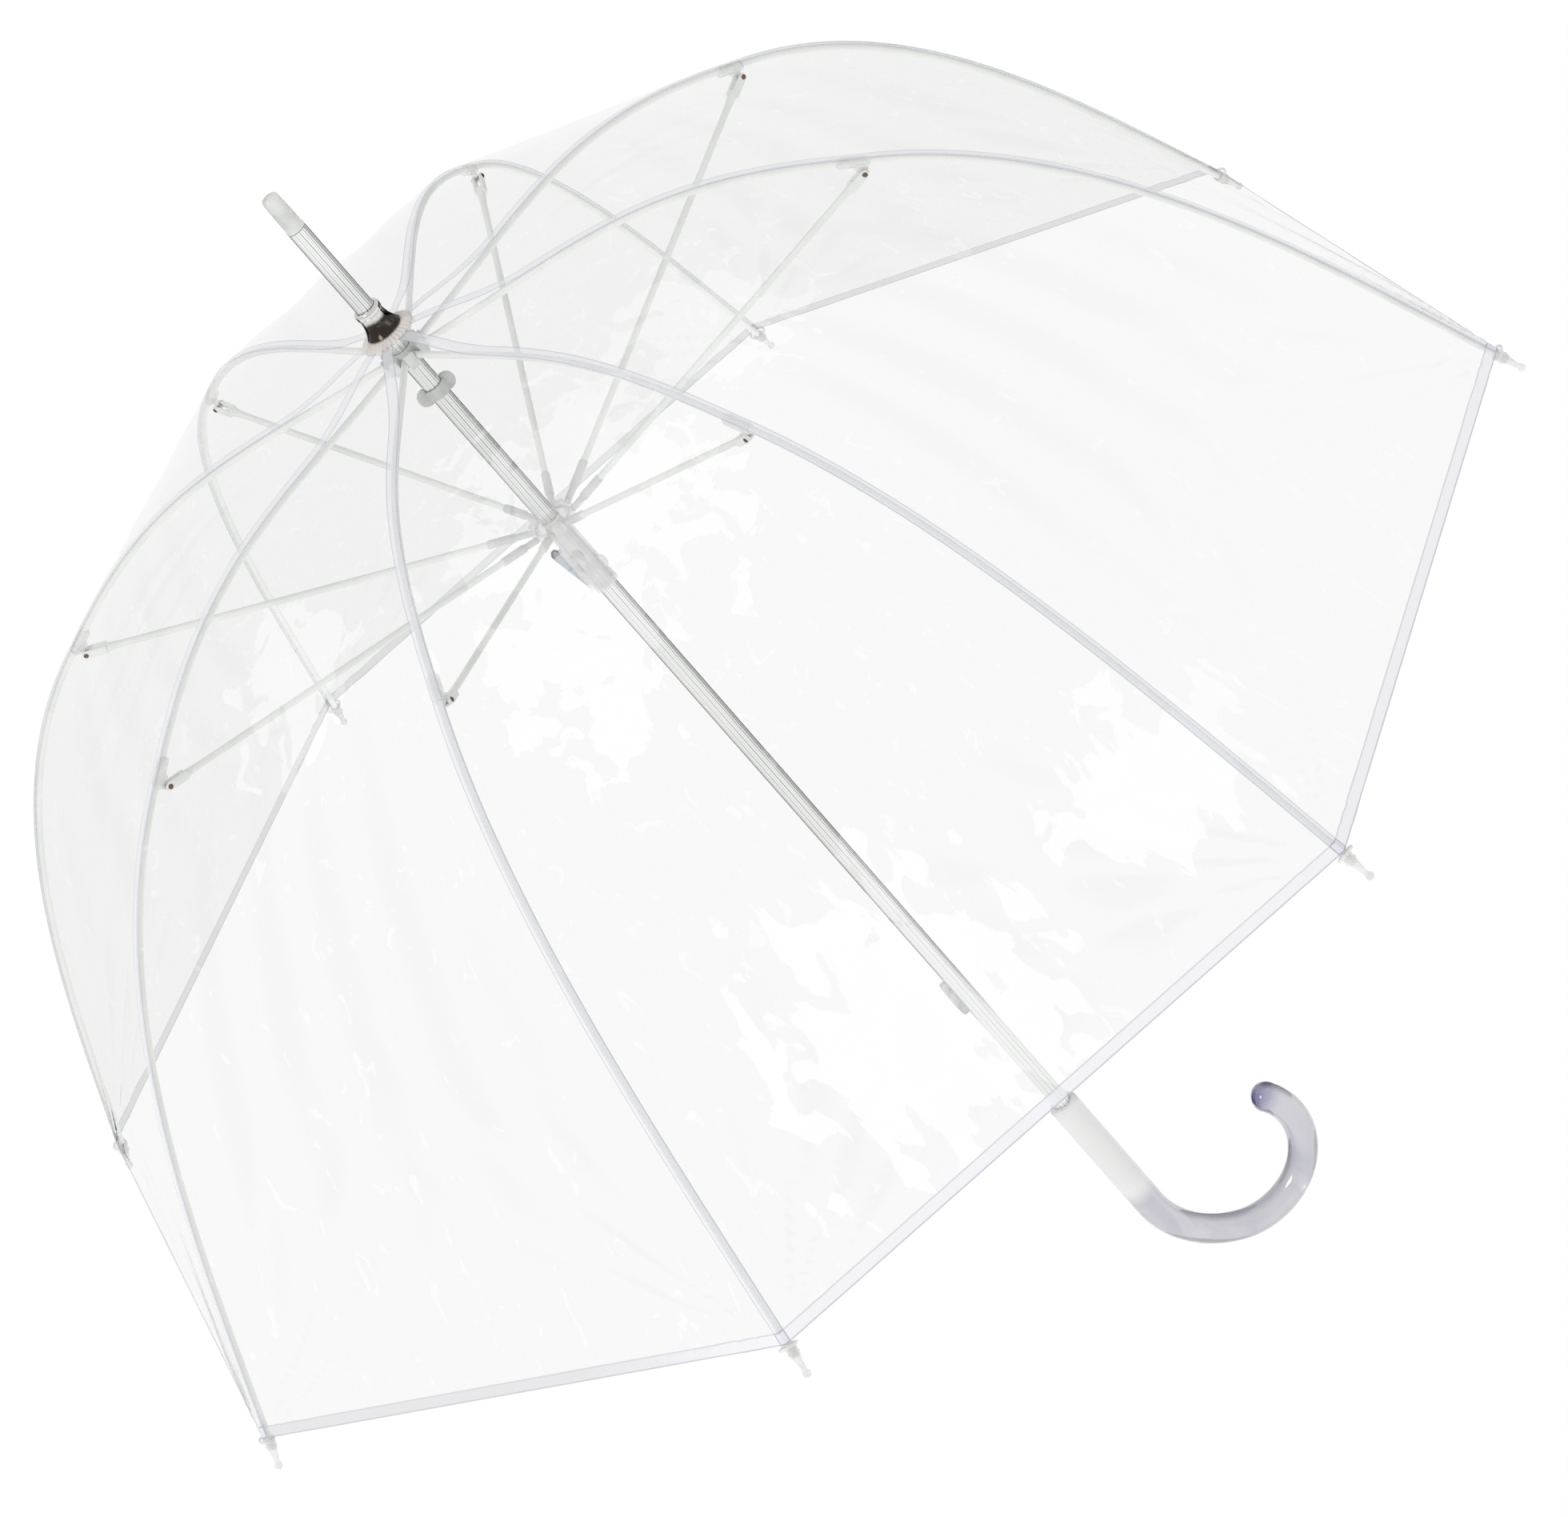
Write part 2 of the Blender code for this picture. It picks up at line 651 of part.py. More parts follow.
def key_mesh():
    """The key that reaches from the sleeve through the shaft's slot onto the spring."""
    middle = RUNNER_Z - KEY_DROP
    outer = RUNNER_BORE + RUNNER_SLEEVE_WALL / 2
    return box_mesh(
        "key",
        Vector((-KEY_HALF_WIDTH, SHAFT_RADIUS - KEY_DEPTH, middle - KEY_HALF_HEIGHT)),
        Vector((KEY_HALF_WIDTH, outer, middle + KEY_HALF_HEIGHT)),
    )


def make_runner(parts):
    """The sliding runner: slotted ring, sleeve, thumb hood, bump and key, and its wire."""
    low = RUNNER_Z - RUNNER_SLEEVE_LENGTH
    pilot = RUNNER_BORE / 2
    ring = hinge_ring(
        "runner",
        RUNNER_RING_RADIUS,
        pilot,
        RUNNER_Z,
        RUNNER_RING_HALF_HEIGHT,
        RUNNER_WIRE_RING,
        STRETCHER_SLOT,
        WIRE_FIT + CLEARANCE,
    )
    tube = sleeve_mesh(pilot, low)
    bore = upright_rod("bore", RUNNER_BORE, low - BOX_REACH / 10, RUNNER_Z + BOX_REACH / 10)
    mesh = combined(
        "runner",
        ring,
        ("UNION", tube),
        ("UNION", bump_mesh()),
        ("UNION", hood_mesh()),
        ("DIFFERENCE", bore),
        ("DIFFERENCE", channel_mesh(low)),
        ("UNION", key_mesh()),
    )
    plastic = principled("runner_plastic", (0.88, 0.88, 0.86), 0.3, alpha=0.85)
    place(smooth(mesh), "runner", parts, plastic)
    wire = torus_mesh("runner_wire", RUNNER_WIRE_RING, WIRE_RADIUS, RUNNER_Z)
    steel = principled("runner_wire_steel", (0.6, 0.6, 0.6), 0.3, 1.0)
    place(smooth(wire), "runner_wire", parts, steel)


def make_spring(parts):
    """The drive spring in the shaft, from its bottom up to the runner's key."""
    low = SHAFT_BOTTOM + SPRING_WIRE_RADIUS
    high = RUNNER_Z - KEY_DROP - KEY_HALF_HEIGHT - CLEARANCE - SPRING_WIRE_RADIUS
    count = SPRING_TURNS * SPRING_POINTS_PER_TURN
    points = []
    for i in range(count + 1):
        turn = 2 * math.pi * i / SPRING_POINTS_PER_TURN
        z = low + (high - low) * i / count
        points.append(Vector((SPRING_RADIUS * math.cos(turn), SPRING_RADIUS * math.sin(turn), z)))
    mesh = tube_mesh("drive_spring", points, SPRING_WIRE_RADIUS, fineness=0)
    steel = principled("spring_steel", (0.5, 0.5, 0.5), 0.35, 1.0)
    return place(smooth(mesh), "drive_spring", parts, steel)


def make_button(parts):
    """The release button in the shaft's window, with rounded outer ends."""
    tall = BUTTON_LENGTH / 2
    inner = SHAFT_BORE - BUTTON_INSIDE
    outer = SHAFT_RADIUS + BUTTON_PROUD
    mesh = box_mesh(
        "release_button",
        Vector((-outer, -BUTTON_HALF_WIDTH, BUTTON_Z - tall)),
        Vector((-inner, BUTTON_HALF_WIDTH, BUTTON_Z + tall)),
    )
    plastic = principled("button_plastic", (0.86, 0.86, 0.84), 0.2, alpha=0.7)
    obj = place(mesh, "release_button", parts, plastic)
    bevel = obj.modifiers.new("Round", "BEVEL")
    bevel.width = BUTTON_ROUNDING
    bevel.segments = 2
    return obj


# One rib, its bracket, stretcher and tip cap, shared by all eight


def upper_rib_mesh():
    """The upper rib from its tail behind the hinge wire to the bracket, about its hinge."""
    root = slope(RIB_ROOT_SLOPE)
    points = [NOTCH_PLACE - RIB_TAIL * root, NOTCH_PLACE + RIB_TAIL * root]
    points += [upper_bend(i / RIB_STEPS)[0] for i in range(1, RIB_STEPS + 1)]
    points.append(ELBOW_PLACE + SADDLE_FRONT / 2 * ELBOW_WAY)
    rod = tube_mesh("upper_rib", [p - NOTCH_PLACE for p in points], RIB_RADIUS)
    side = Vector((0, 4 * RIB_RADIUS, 0))
    eye = rod_mesh("eye", WIRE_FIT, -side, side, PIN_SIDES)
    return smooth(combined("upper_rib", rod, ("DIFFERENCE", eye)))


def lower_rib_mesh():
    """The lower rib from the bracket to its end in the tip cap, about its bending point."""
    points = [lower_bend(i / RIB_STEPS)[0] for i in range(RIB_STEPS + 1)]
    points.append(HEM_PLACE + RIB_BEYOND_HEM * HEM_WAY)
    return smooth(tube_mesh("lower_rib", [p - FLEX_PLACE for p in points], RIB_RADIUS))


def bracket_mesh():
    """The moulded saddle that holds the rib, with a lug and pin for the stretcher.

    +X runs along the rib and +Z outwards, about the pin.
    """
    width = RIB_FIT + SADDLE_WALL
    saddle = box_mesh(
        "bracket",
        Vector((-SADDLE_BACK, -width, PIN_DROP - RIB_FIT - SADDLE_FLOOR)),
        Vector((SADDLE_FRONT, width, PIN_DROP + SADDLE_LIP)),
    )
    lug = box_mesh(
        "lug",
        Vector((-LUG_RADIUS, -LUG_HALF_WIDTH, 0)),
        Vector((LUG_RADIUS, LUG_HALF_WIDTH, PIN_DROP - RIB_FIT - SADDLE_FLOOR / 2)),
    )
    wide = Vector((0, LUG_HALF_WIDTH * LUG_EYE_SHARE, 0))
    pin = Vector((0, FORK_WIDTH / 2, 0))
    start = Vector((-2 * SADDLE_BACK, 0, PIN_DROP))
    end = Vector((2 * SADDLE_BACK, 0, PIN_DROP))
    return smooth(
        combined(
            "bracket",
            saddle,
            ("UNION", lug),
            ("UNION", rod_mesh("eye", LUG_RADIUS, -wide, wide)),
            ("UNION", rod_mesh("pin", PIN_RADIUS, -pin, pin, PIN_SIDES)),
            ("DIFFERENCE", rod_mesh("rib", RIB_FIT, start, end)),
        )
    )


def stretcher_mesh():
    """The stretcher, from the fork on its pin along +X to its end on the runner's wire."""
    long = (STRETCHER_END - PIN_PLACE).length
    narrow = FORK_END_SHARE * STRETCHER_RADIUS
    fork = box_mesh(
        "stretcher",
        Vector((-FORK_BEHIND_PIN, -FORK_WIDTH / 2, -FORK_DEPTH / 2)),
        Vector((FORK_LENGTH, FORK_WIDTH / 2, FORK_DEPTH / 2)),
        taper=(narrow / FORK_WIDTH, narrow / FORK_DEPTH),
    )
    rod = rod_mesh(
        "rod",
        STRETCHER_RADIUS,
        Vector((FORK_LENGTH * ROD_START_SHARE, 0, 0)),
        Vector((long + STRETCHER_RADIUS / 2, 0, 0)),
        PIN_SIDES,
    )
    gap = LUG_HALF_WIDTH + CLEARANCE
    slot = box_mesh(
        "slot",
        Vector((-BOX_REACH, -gap, -FORK_DEPTH)),
        Vector((FORK_SLOT_LENGTH, gap, FORK_DEPTH)),
    )
    side = Vector((0, FORK_WIDTH, 0))
    hole = rod_mesh("hole", PIN_RADIUS + CLEARANCE, -side, side, PIN_SIDES)
    changes = (("UNION", rod), ("DIFFERENCE", slot), ("DIFFERENCE", hole))
    return smooth(combined("stretcher", fork, *changes))


def tip_cap_mesh():
    """The cap on the rib's end: socket, taper and ball, along +Z from the hem's corner."""
    socket = RIB_FIT + CAP_WALL
    ball_z = CAP_LENGTH - CAP_BALL_RADIUS
    neck = math.asin(CAP_NECK_RADIUS / CAP_BALL_RADIUS)
    start = CLEARANCE * 2
    depth = RIB_BEYOND_HEM + CLEARANCE
    angles = [neck + (math.pi - neck) * i / CAP_BALL_STEPS for i in range(CAP_BALL_STEPS + 1)]
    ball = [(CAP_BALL_RADIUS * math.sin(a), ball_z - CAP_BALL_RADIUS * math.cos(a)) for a in angles]
    outer = [
        (socket, start),
        (socket, CAP_SOCKET_LENGTH * CAP_SOCKET_SHARE),
        (CAP_NECK_RADIUS * CAP_TAPER_SHARE, CAP_SOCKET_LENGTH),
    ]
    profile = [(0, depth), (RIB_FIT, depth), (RIB_FIT, start)] + outer + ball[:-1] + [(0, CAP_LENGTH)]
    return smooth(turned_mesh("tip_cap", list(reversed(profile)), SMALL_SIDES))


def make_ribs(parts):
    """Eight ribs in two lengths, with their brackets, stretchers and tip caps."""
    looks = {
        "upper_rib": principled("upper_rib_glassfibre", (0.74, 0.76, 0.74), 0.35),
        "lower_rib": principled("lower_rib_glassfibre", (0.76, 0.77, 0.75), 0.35),
        "joint_bracket": principled("bracket_plastic", (0.85, 0.86, 0.84), 0.35, alpha=0.9),
        "stretcher": principled("stretcher_glassfibre", (0.72, 0.74, 0.72), 0.35),
        "tip_cap": principled("tip_plastic", (0.88, 0.88, 0.86), 0.3, alpha=0.9),
    }
    way = STRETCHER_END - PIN_PLACE
    made = {
        "upper_rib": (upper_rib_mesh(), NOTCH_PLACE, 0.0),
        "lower_rib": (lower_rib_mesh(), FLEX_PLACE, 0.0),
        "joint_bracket": (bracket_mesh(), PIN_PLACE, tilt_of(ELBOW_WAY)),
        "stretcher": (stretcher_mesh(), PIN_PLACE, tilt_of(way)),
        "tip_cap": (tip_cap_mesh(), HEM_PLACE, tilt_of(HEM_WAY) + math.pi / 2),
    }
    for number, angle in enumerate(rib_angles(), 1):
        for name, (mesh, where, tilt) in made.items():
            matrix = in_rib_plane(where, angle, tilt)
            place(mesh, f"{name}_{number}", parts, looks[name], matrix)


# Canopy


def film_line():
    """The film's seam line over a rib, as (radius, height) points from the crown to the hem."""
    points = []
    for i in range(RIB_STEPS + 1):
        t = i / RIB_STEPS
        where, way = upper_bend(t)
        where = where + FILM_OFFSET * normal_of(way)
        where.x -= (NOTCH_PIVOT_RADIUS - FILM_CROWN_RADIUS) * (1 - t) ** 4
        points.append(where)
    dip = FILM_DIP_RADIUS - FILM_CROWN_RADIUS
    for i in range(1, DIP_POINTS + 1):
        points.append(Vector((FILM_CROWN_RADIUS + dip * i / (DIP_POINTS + 1), 0, NOTCH_Z + FILM_OFFSET)))
    points.sort(key=lambda p: p.x)
    lift = NOTCH_DROP - FILM_CROWN_DROP - FILM_OFFSET
    for p in points:
        share = min(1, max(0, (p.x - FILM_CROWN_RADIUS) / dip))
        p.z += lift * (0.5 + 0.5 * math.cos(math.pi * share)) ** 2
    for i in range(RIB_STEPS + 1):
        where, way = lower_bend(i / RIB_STEPS)
        points.append(where + FILM_OFFSET * normal_of(way))
    return points


def gore_mesh():
    """One gore between two ribs: straight across, and bent along the seams, about the crown."""
    line = film_line()
    half = math.pi / RIB_COUNT

    def build(bm):
        bmesh.ops.create_grid(bm, x_segments=len(line) - 1, y_segments=FILM_ACROSS, size=0.5)
        for v in bm.verts:
            seam = line[round((v.co.x + 0.5) * (len(line) - 1))]
            across = 2 * v.co.y * (seam.x * math.sin(half) - CLEARANCE / 2)
            v.co = Vector((seam.x * math.cos(half), across, seam.z))

    return mesh_from(build, "canopy_gore")


def make_canopy(parts):
    """Eight film gores."""
    mesh = gore_mesh()
    film = principled("canopy_film", (0.93, 0.93, 0.93), 0.12, alpha=0.25)
    for number, angle in enumerate(rib_angles(), 1):
        turn = Matrix.Rotation(angle + math.pi / RIB_COUNT, 4, "Z")
        obj = place(mesh, f"canopy_gore_{number}", parts, film, turn)
        wall = obj.modifiers.new("Film", "SOLIDIFY")
        wall.thickness = FILM_THICKNESS
        wall.offset = 0
        wall.use_even_offset = True


# Handle


def crook_points():
    """The handle's centre line: the grip, a wide bend, a tighter one and a rounded end."""
    start = Vector((0, 0, -GRIP_BOTTOM))
    lead_middle = start + Vector((LEAD_RADIUS, 0, 0))
    a = math.radians(LEAD_ANGLE)
    crook_middle = lead_middle - (LEAD_RADIUS - CROOK_RADIUS) * Vector((math.cos(a), 0, math.sin(a)))
    points, radii = [], []
    for drop, share in GRIP_EDGE:
        points.append(Vector((0, 0, GRIP_TOP - drop)))
        radii.append(share)
    points.append(start)
    for i in range(1, LEAD_STEPS + 1):
        b = a * i / LEAD_STEPS
        points.append(lead_middle - LEAD_RADIUS * Vector((math.cos(b), 0, math.sin(b))))
    round_end = HANDLE_RADIUS / CROOK_RADIUS
    sweep = math.radians(CROOK_ANGLE)
    for i in range(1, CROOK_STEPS + 1):
        b = a + (sweep - round_end) * i / CROOK_STEPS
        points.append(crook_middle - CROOK_RADIUS * Vector((math.cos(b), 0, math.sin(b))))
    radii += [1.0] * (len(points) - len(radii))
    for i in range(1, ROUND_END_STEPS + 1):
        c = math.pi / 2 * i / (ROUND_END_STEPS + 0.4)
        b = a + sweep - round_end * (1 - math.sin(c))
        points.append(crook_middle - CROOK_RADIUS * Vector((math.cos(b), 0, math.sin(b))))
        radii.append(math.cos(c))
    return points, radii


def make_handle(parts, cutters):
    """The crook handle, bored for the shaft."""
    points, radii = crook_points()
    mesh = tube_mesh("handle", points, HANDLE_RADIUS, radii, fineness=4)
    clear = principled("handle_plastic", (0.86, 0.86, 0.88), 0.08, alpha=0.6)
    obj = place(smooth(mesh), "handle", parts, clear)
    bore = upright_rod("handle_bore", FIT_RADIUS, SHAFT_BOTTOM - CLEARANCE, GRIP_TOP + BOX_REACH)
    return cut_live(obj, bore, "handle_bore", cutters)


def main():
    """Builds the umbrella."""
    clear_scene()
    parts = new_collection("stick_umbrella")
    cutters = new_collection("cutters")
    make_shaft(parts, cutters)
    make_ferrule(parts)
    make_crown_cup(parts)
    make_rosette(parts)
    make_notch(parts)
    make_stop_collar(parts)
    make_runner(parts)
    make_spring(parts)
    make_button(parts)
    make_ribs(parts)
    make_canopy(parts)
    make_handle(parts, cutters)


main()
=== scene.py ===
"""Looks of a clear dome stick umbrella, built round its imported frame.

Metres, +Z up along the shaft towards the ferrule, +X towards the crook. A rib works in its
own upright plane, where a place is (radius, height), and that plane is then turned to the
rib's azimuth.
"""

import logging
import math
from dataclasses import dataclass, field
from enum import Enum

import bpy
import numpy as np
from mathutils import Matrix

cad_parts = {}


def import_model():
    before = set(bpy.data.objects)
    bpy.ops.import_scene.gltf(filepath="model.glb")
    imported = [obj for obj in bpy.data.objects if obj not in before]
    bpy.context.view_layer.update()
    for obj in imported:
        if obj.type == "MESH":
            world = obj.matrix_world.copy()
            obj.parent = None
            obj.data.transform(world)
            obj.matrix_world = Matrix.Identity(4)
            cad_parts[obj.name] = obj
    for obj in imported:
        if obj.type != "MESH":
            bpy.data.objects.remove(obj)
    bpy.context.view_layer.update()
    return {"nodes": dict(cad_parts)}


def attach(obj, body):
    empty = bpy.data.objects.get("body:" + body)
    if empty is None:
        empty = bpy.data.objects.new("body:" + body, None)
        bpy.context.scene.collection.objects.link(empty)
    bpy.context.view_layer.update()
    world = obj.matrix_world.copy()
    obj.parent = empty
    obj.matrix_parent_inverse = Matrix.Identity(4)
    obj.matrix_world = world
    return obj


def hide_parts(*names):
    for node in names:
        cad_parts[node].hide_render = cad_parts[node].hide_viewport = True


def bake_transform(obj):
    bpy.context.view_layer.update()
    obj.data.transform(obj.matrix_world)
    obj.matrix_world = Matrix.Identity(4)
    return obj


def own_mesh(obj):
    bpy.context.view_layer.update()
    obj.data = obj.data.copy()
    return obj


log = logging.getLogger("umbrella")

Grid = np.ndarray  # rows x columns x 3 places
RIB_COUNT = 8
RIB_PHASE = math.pi / RIB_COUNT
GORE_ANGLE = 2 * math.pi / RIB_COUNT


class Zone(Enum):
    """The lengths that the canopy is split into, from the crown to the hem."""

    CROWN = "crown"
    UPPER = "upper"
    LOWER = "lower"


class Side(Enum):
    """The two sides of a rib, as the sign of the turn about the shaft."""

    CLOCKWISE = -1
    COUNTER = 1


# Numbers and arrays


def ease(value: np.ndarray | float, low: float, high: float) -> np.ndarray:
    """A smooth step.

    Args:
        value: what is tested.
        low: where the step is still 0.
        high: where it has reached 1.

    Returns:
        3t^2 - 2t^3 of the share t between low and high.
    """
    t = np.clip((np.asarray(value, float) - low) / (high - low), 0.0, 1.0)
    return t * t * (3 - 2 * t)


def down_slope(degrees: float) -> np.ndarray:
    """Unit (radius, height) direction that points outwards and down by an angle."""
    a = math.radians(degrees)
    return np.array([math.cos(a), -math.sin(a)])


def outward_of(ways: np.ndarray) -> np.ndarray:
    """The directions turned a quarter, away from the space under the canopy."""
    return np.stack([-ways[..., 1], ways[..., 0]], axis=-1)


def cubic(
    start: np.ndarray,
    start_way: np.ndarray,
    end: np.ndarray,
    end_way: np.ndarray,
    share: float,
    t: np.ndarray,
) -> tuple[np.ndarray, np.ndarray]:
    """A cubic curve whose two handles are a share of its chord.

    Returns:
        Places (1-t)^3 a + 3(1-t)^2 t b + 3(1-t) t^2 c + t^3 d, and their unit directions.
    """
    handle = share * np.linalg.norm(end - start)
    b, c = start + handle * start_way, end - handle * end_way
    t = t[:, None]
    u = 1 - t
    places = u**3 * start + 3 * u * u * t * b + 3 * u * t * t * c + t**3 * end
    ways = u * u * (b - start) + 2 * u * t * (c - b) + t * t * (end - c)
    return places, ways / np.linalg.norm(ways, axis=1, keepdims=True)


def along(places: np.ndarray) -> np.ndarray:
    """The distance walked to each point of a line."""
    steps = np.linalg.norm(np.diff(places, axis=0), axis=1)
    return np.concatenate([[0.0], np.cumsum(steps)])


def resampled(places: np.ndarray, count: int) -> np.ndarray:
    """The line again, with that many points evenly spaced along it."""
    walked = along(places)
    stops = np.linspace(0, walked[-1], count)
    return np.stack([np.interp(stops, walked, column) for column in places.T], axis=1)


def turned(points: np.ndarray, azimuth: float) -> np.ndarray:
    """Points turned about the Z axis: x cos - y sin, x sin + y cos."""
    c, s = math.cos(azimuth), math.sin(azimuth)
    spin = np.array([[c, -s, 0.0], [s, c, 0.0], [0.0, 0.0, 1.0]])
    return points @ spin.T


def rib_azimuth(number: int) -> float:
    """The azimuth of rib 1 to 8."""
    return RIB_PHASE + GORE_ANGLE * (number - 1)


# Surfaces and meshes


def tube_grid(
    places: np.ndarray, side: np.ndarray, radii: np.ndarray | float, sides: int, flat: float = 1.0
) -> Grid:
    """A round or oval section carried along a line.

    Each ring is place + r cos(a) side + flat r sin(a) up, where up is side x direction.

    Args:
        places: the line's points, n x 3.
        side: one unit vector across the line.
        radii: the section's radius, or one for each point.
        sides: points round the section.
        flat: the section's height as a share of its width.
    """
    ways = np.gradient(places, axis=0)
    ways /= np.linalg.norm(ways, axis=1, keepdims=True)
    ups = np.cross(side[None, :], ways)
    ups /= np.linalg.norm(ups, axis=1, keepdims=True)
    a = np.arange(sides) * (2 * math.pi / sides)
    r = np.broadcast_to(np.asarray(radii, float), (len(places),))[:, None, None]
    across = np.cos(a)[None, :, None] * side[None, None, :]
    upright = flat * np.sin(a)[None, :, None] * ups[:, None, :]
    return places[:, None, :] + r * (across + upright)


def lathe_grid(profile: np.ndarray, sides: int, pleats: int = 0, depth: np.ndarray | float = 0.0) -> Grid:
    """A profile of (radius, height) points turned about Z.

    The height gains depth x cos(pleats x angle), which pleats a washer like a fan.
    """
    a = np.arange(sides) * (2 * math.pi / sides)
    r, z = profile[:, 0:1], profile[:, 1:2]
    lift = np.broadcast_to(np.asarray(depth, float), (len(profile),))[:, None] * np.cos(pleats * a)[None, :]
    return np.stack([r * np.cos(a), r * np.sin(a), z + lift], axis=-1)


def bar_grid(centre: np.ndarray, axes: np.ndarray, power: float, rows: int, columns: int) -> Grid:
    """A rounded bar: a superellipsoid about a centre.

    A place is centre + cos(v)^p cos(u)^p A + cos(v)^p sin(u)^p B + sin(v)^p C with signed powers,
    where A, B and C are the rows of axes. A power under 1 squares it up.
    """
    v = np.linspace(-math.pi / 2, math.pi / 2, rows)[1:-1, None]
    u = np.arange(columns)[None, :] * (2 * math.pi / columns)

    def signed(x: np.ndarray) -> np.ndarray:
        return np.sign(x) * np.abs(x) ** power

    a = (signed(np.cos(v)) * signed(np.cos(u)))[..., None] * axes[0]
    b = (signed(np.cos(v)) * signed(np.sin(u)))[..., None] * axes[1]
    c = (signed(np.sin(v)) * np.ones_like(u))[..., None] * axes[2]
    return centre + a + b + c


@dataclass
class Shape:
    """The shells of one piece: their points, and faces that all point outwards."""

    points: list[np.ndarray] = field(default_factory=list)
    faces: list[list[int]] = field(default_factory=list)
    count: int = 0

    def _take(self, points: np.ndarray, faces: np.ndarray | list, closed: bool) -> "Shape":
        """Adds a shell, turned right way out by the sign of its volume."""
        rows = [list(f) for f in faces]
        if closed and _volume(points, rows) < 0:
            rows = [f[::-1] for f in rows]
        self.points.append(points)
        self.faces += [[i + self.count for i in f] for f in rows]
        self.count += len(points)
        return self

    def tube(self, grid: Grid) -> "Shape":
        """Adds a shell that closes round its columns, with a fan over each end."""
        rows, columns = grid.shape[:2]
        quads = _quads(rows, columns, False, True).tolist()
        middles = np.stack([grid[0].mean(axis=0), grid[-1].mean(axis=0)])
        ring = np.arange(columns)
        after = (ring + 1) % columns
        first = np.stack([np.full(columns, rows * columns), after, ring], axis=1)
        last = np.stack([np.full(columns, rows * columns + 1), ring, after], axis=1)
        last[:, 1:] += (rows - 1) * columns
        points = np.concatenate([grid.reshape(-1, 3), middles])
        return self._take(points, quads + first.tolist() + last.tolist(), True)

    def ring(self, grid: Grid) -> "Shape":
        """Adds a shell that closes round its rows and its columns."""
        rows, columns = grid.shape[:2]
        return self._take(grid.reshape(-1, 3), _quads(rows, columns, True, True), True)

    def sheet(self, grid: Grid) -> "Shape":
        """Adds an open sheet."""
        rows, columns = grid.shape[:2]
        return self._take(grid.reshape(-1, 3), _quads(rows, columns, False, False), False)

    def moved(self, azimuth: float) -> "Shape":
        """The shape turned about the shaft, as a new shape."""
        return Shape([turned(p, azimuth) for p in self.points], self.faces, self.count)

    def mesh(self, name: str, sharp: float) -> bpy.types.Mesh:
        """The shells as one mesh, smooth where its faces meet by less than an angle."""
        mesh = bpy.data.meshes.new(name)
        mesh.from_pydata(np.concatenate(self.points).tolist(), [], self.faces)
        mesh.shade_smooth()
        mesh.set_sharp_from_angle(angle=math.radians(sharp))
        return mesh


def _quads(rows: int, columns: int, wrap_rows: bool, wrap_columns: bool) -> np.ndarray:
    """The four-cornered faces of a grid, n x 4."""
    i = np.arange(rows if wrap_rows else rows - 1)[:, None]
    j = np.arange(columns if wrap_columns else columns - 1)[None, :]
    k, m = (i + 1) % rows, (j + 1) % columns
    corners = [i * columns + j, i * columns + m, k * columns + m, k * columns + j]
    return np.stack([np.broadcast_to(c, (i.size, j.size)) for c in corners], axis=-1).reshape(-1, 4)


def _volume(points: np.ndarray, faces: list[list[int]]) -> float:
    """Six times the volume inside closed faces, from a fan of triangles on each."""
    a, b, c = [], [], []
    for f in faces:
        for second, third in zip(f[1:-1], f[2:]):
            a.append(f[0])
            b.append(second)
            c.append(third)
    return float(np.einsum("ij,ij->i", points[a], np.cross(points[b], points[c])).sum())


# Shader maths


@dataclass(frozen=True)
class Signal:
    """A shader socket that takes part in Python expressions."""

    bench: "Bench"
    socket: bpy.types.NodeSocket

    def _math(self, operation: str, *values: "Signal | float") -> "Signal":
        """A Math node of that operation on these values."""
        inputs = dict(enumerate(values))
        return self.bench.node("ShaderNodeMath", {"operation": operation}, inputs)

    def __add__(self, other: "Signal | float") -> "Signal":
        """Sum."""
        return self._math("ADD", self, other)

    def __radd__(self, other: float) -> "Signal":
        """Sum with a number in front."""
        return self._math("ADD", other, self)

    def __sub__(self, other: "Signal | float") -> "Signal":
        """Difference."""
        return self._math("SUBTRACT", self, other)

    def __rsub__(self, other: float) -> "Signal":
        """Difference with a number in front."""
        return self._math("SUBTRACT", other, self)

    def __mul__(self, other: "Signal | float") -> "Signal":
        """Product."""
        return self._math("MULTIPLY", self, other)

    def __rmul__(self, other: float) -> "Signal":
        """Product with a number in front."""
        return self._math("MULTIPLY", other, self)

    def __truediv__(self, other: "Signal | float") -> "Signal":
        """Quotient."""
        return self._math("DIVIDE", self, other)

    def size(self) -> "Signal":
        """The value without its sign."""
        return self._math("ABSOLUTE", self)

    def larger(self, other: "Signal | float") -> "Signal":
        """The larger of two values."""
        return self._math("MAXIMUM", self, other)

    def step(self, low: float, high: float) -> "Signal":
        """A smooth step from 0 at low to 1 at high, or falling if low is the larger."""
        settings = {"interpolation_type": "SMOOTHSTEP"}
        if low <= high:
            inputs = {0: self, 1: low, 2: high, 3: 0.0, 4: 1.0}
        else:
            inputs = {0: self, 1: high, 2: low, 3: 1.0, 4: 0.0}
        return self.bench.node("ShaderNodeMapRange", settings, inputs)


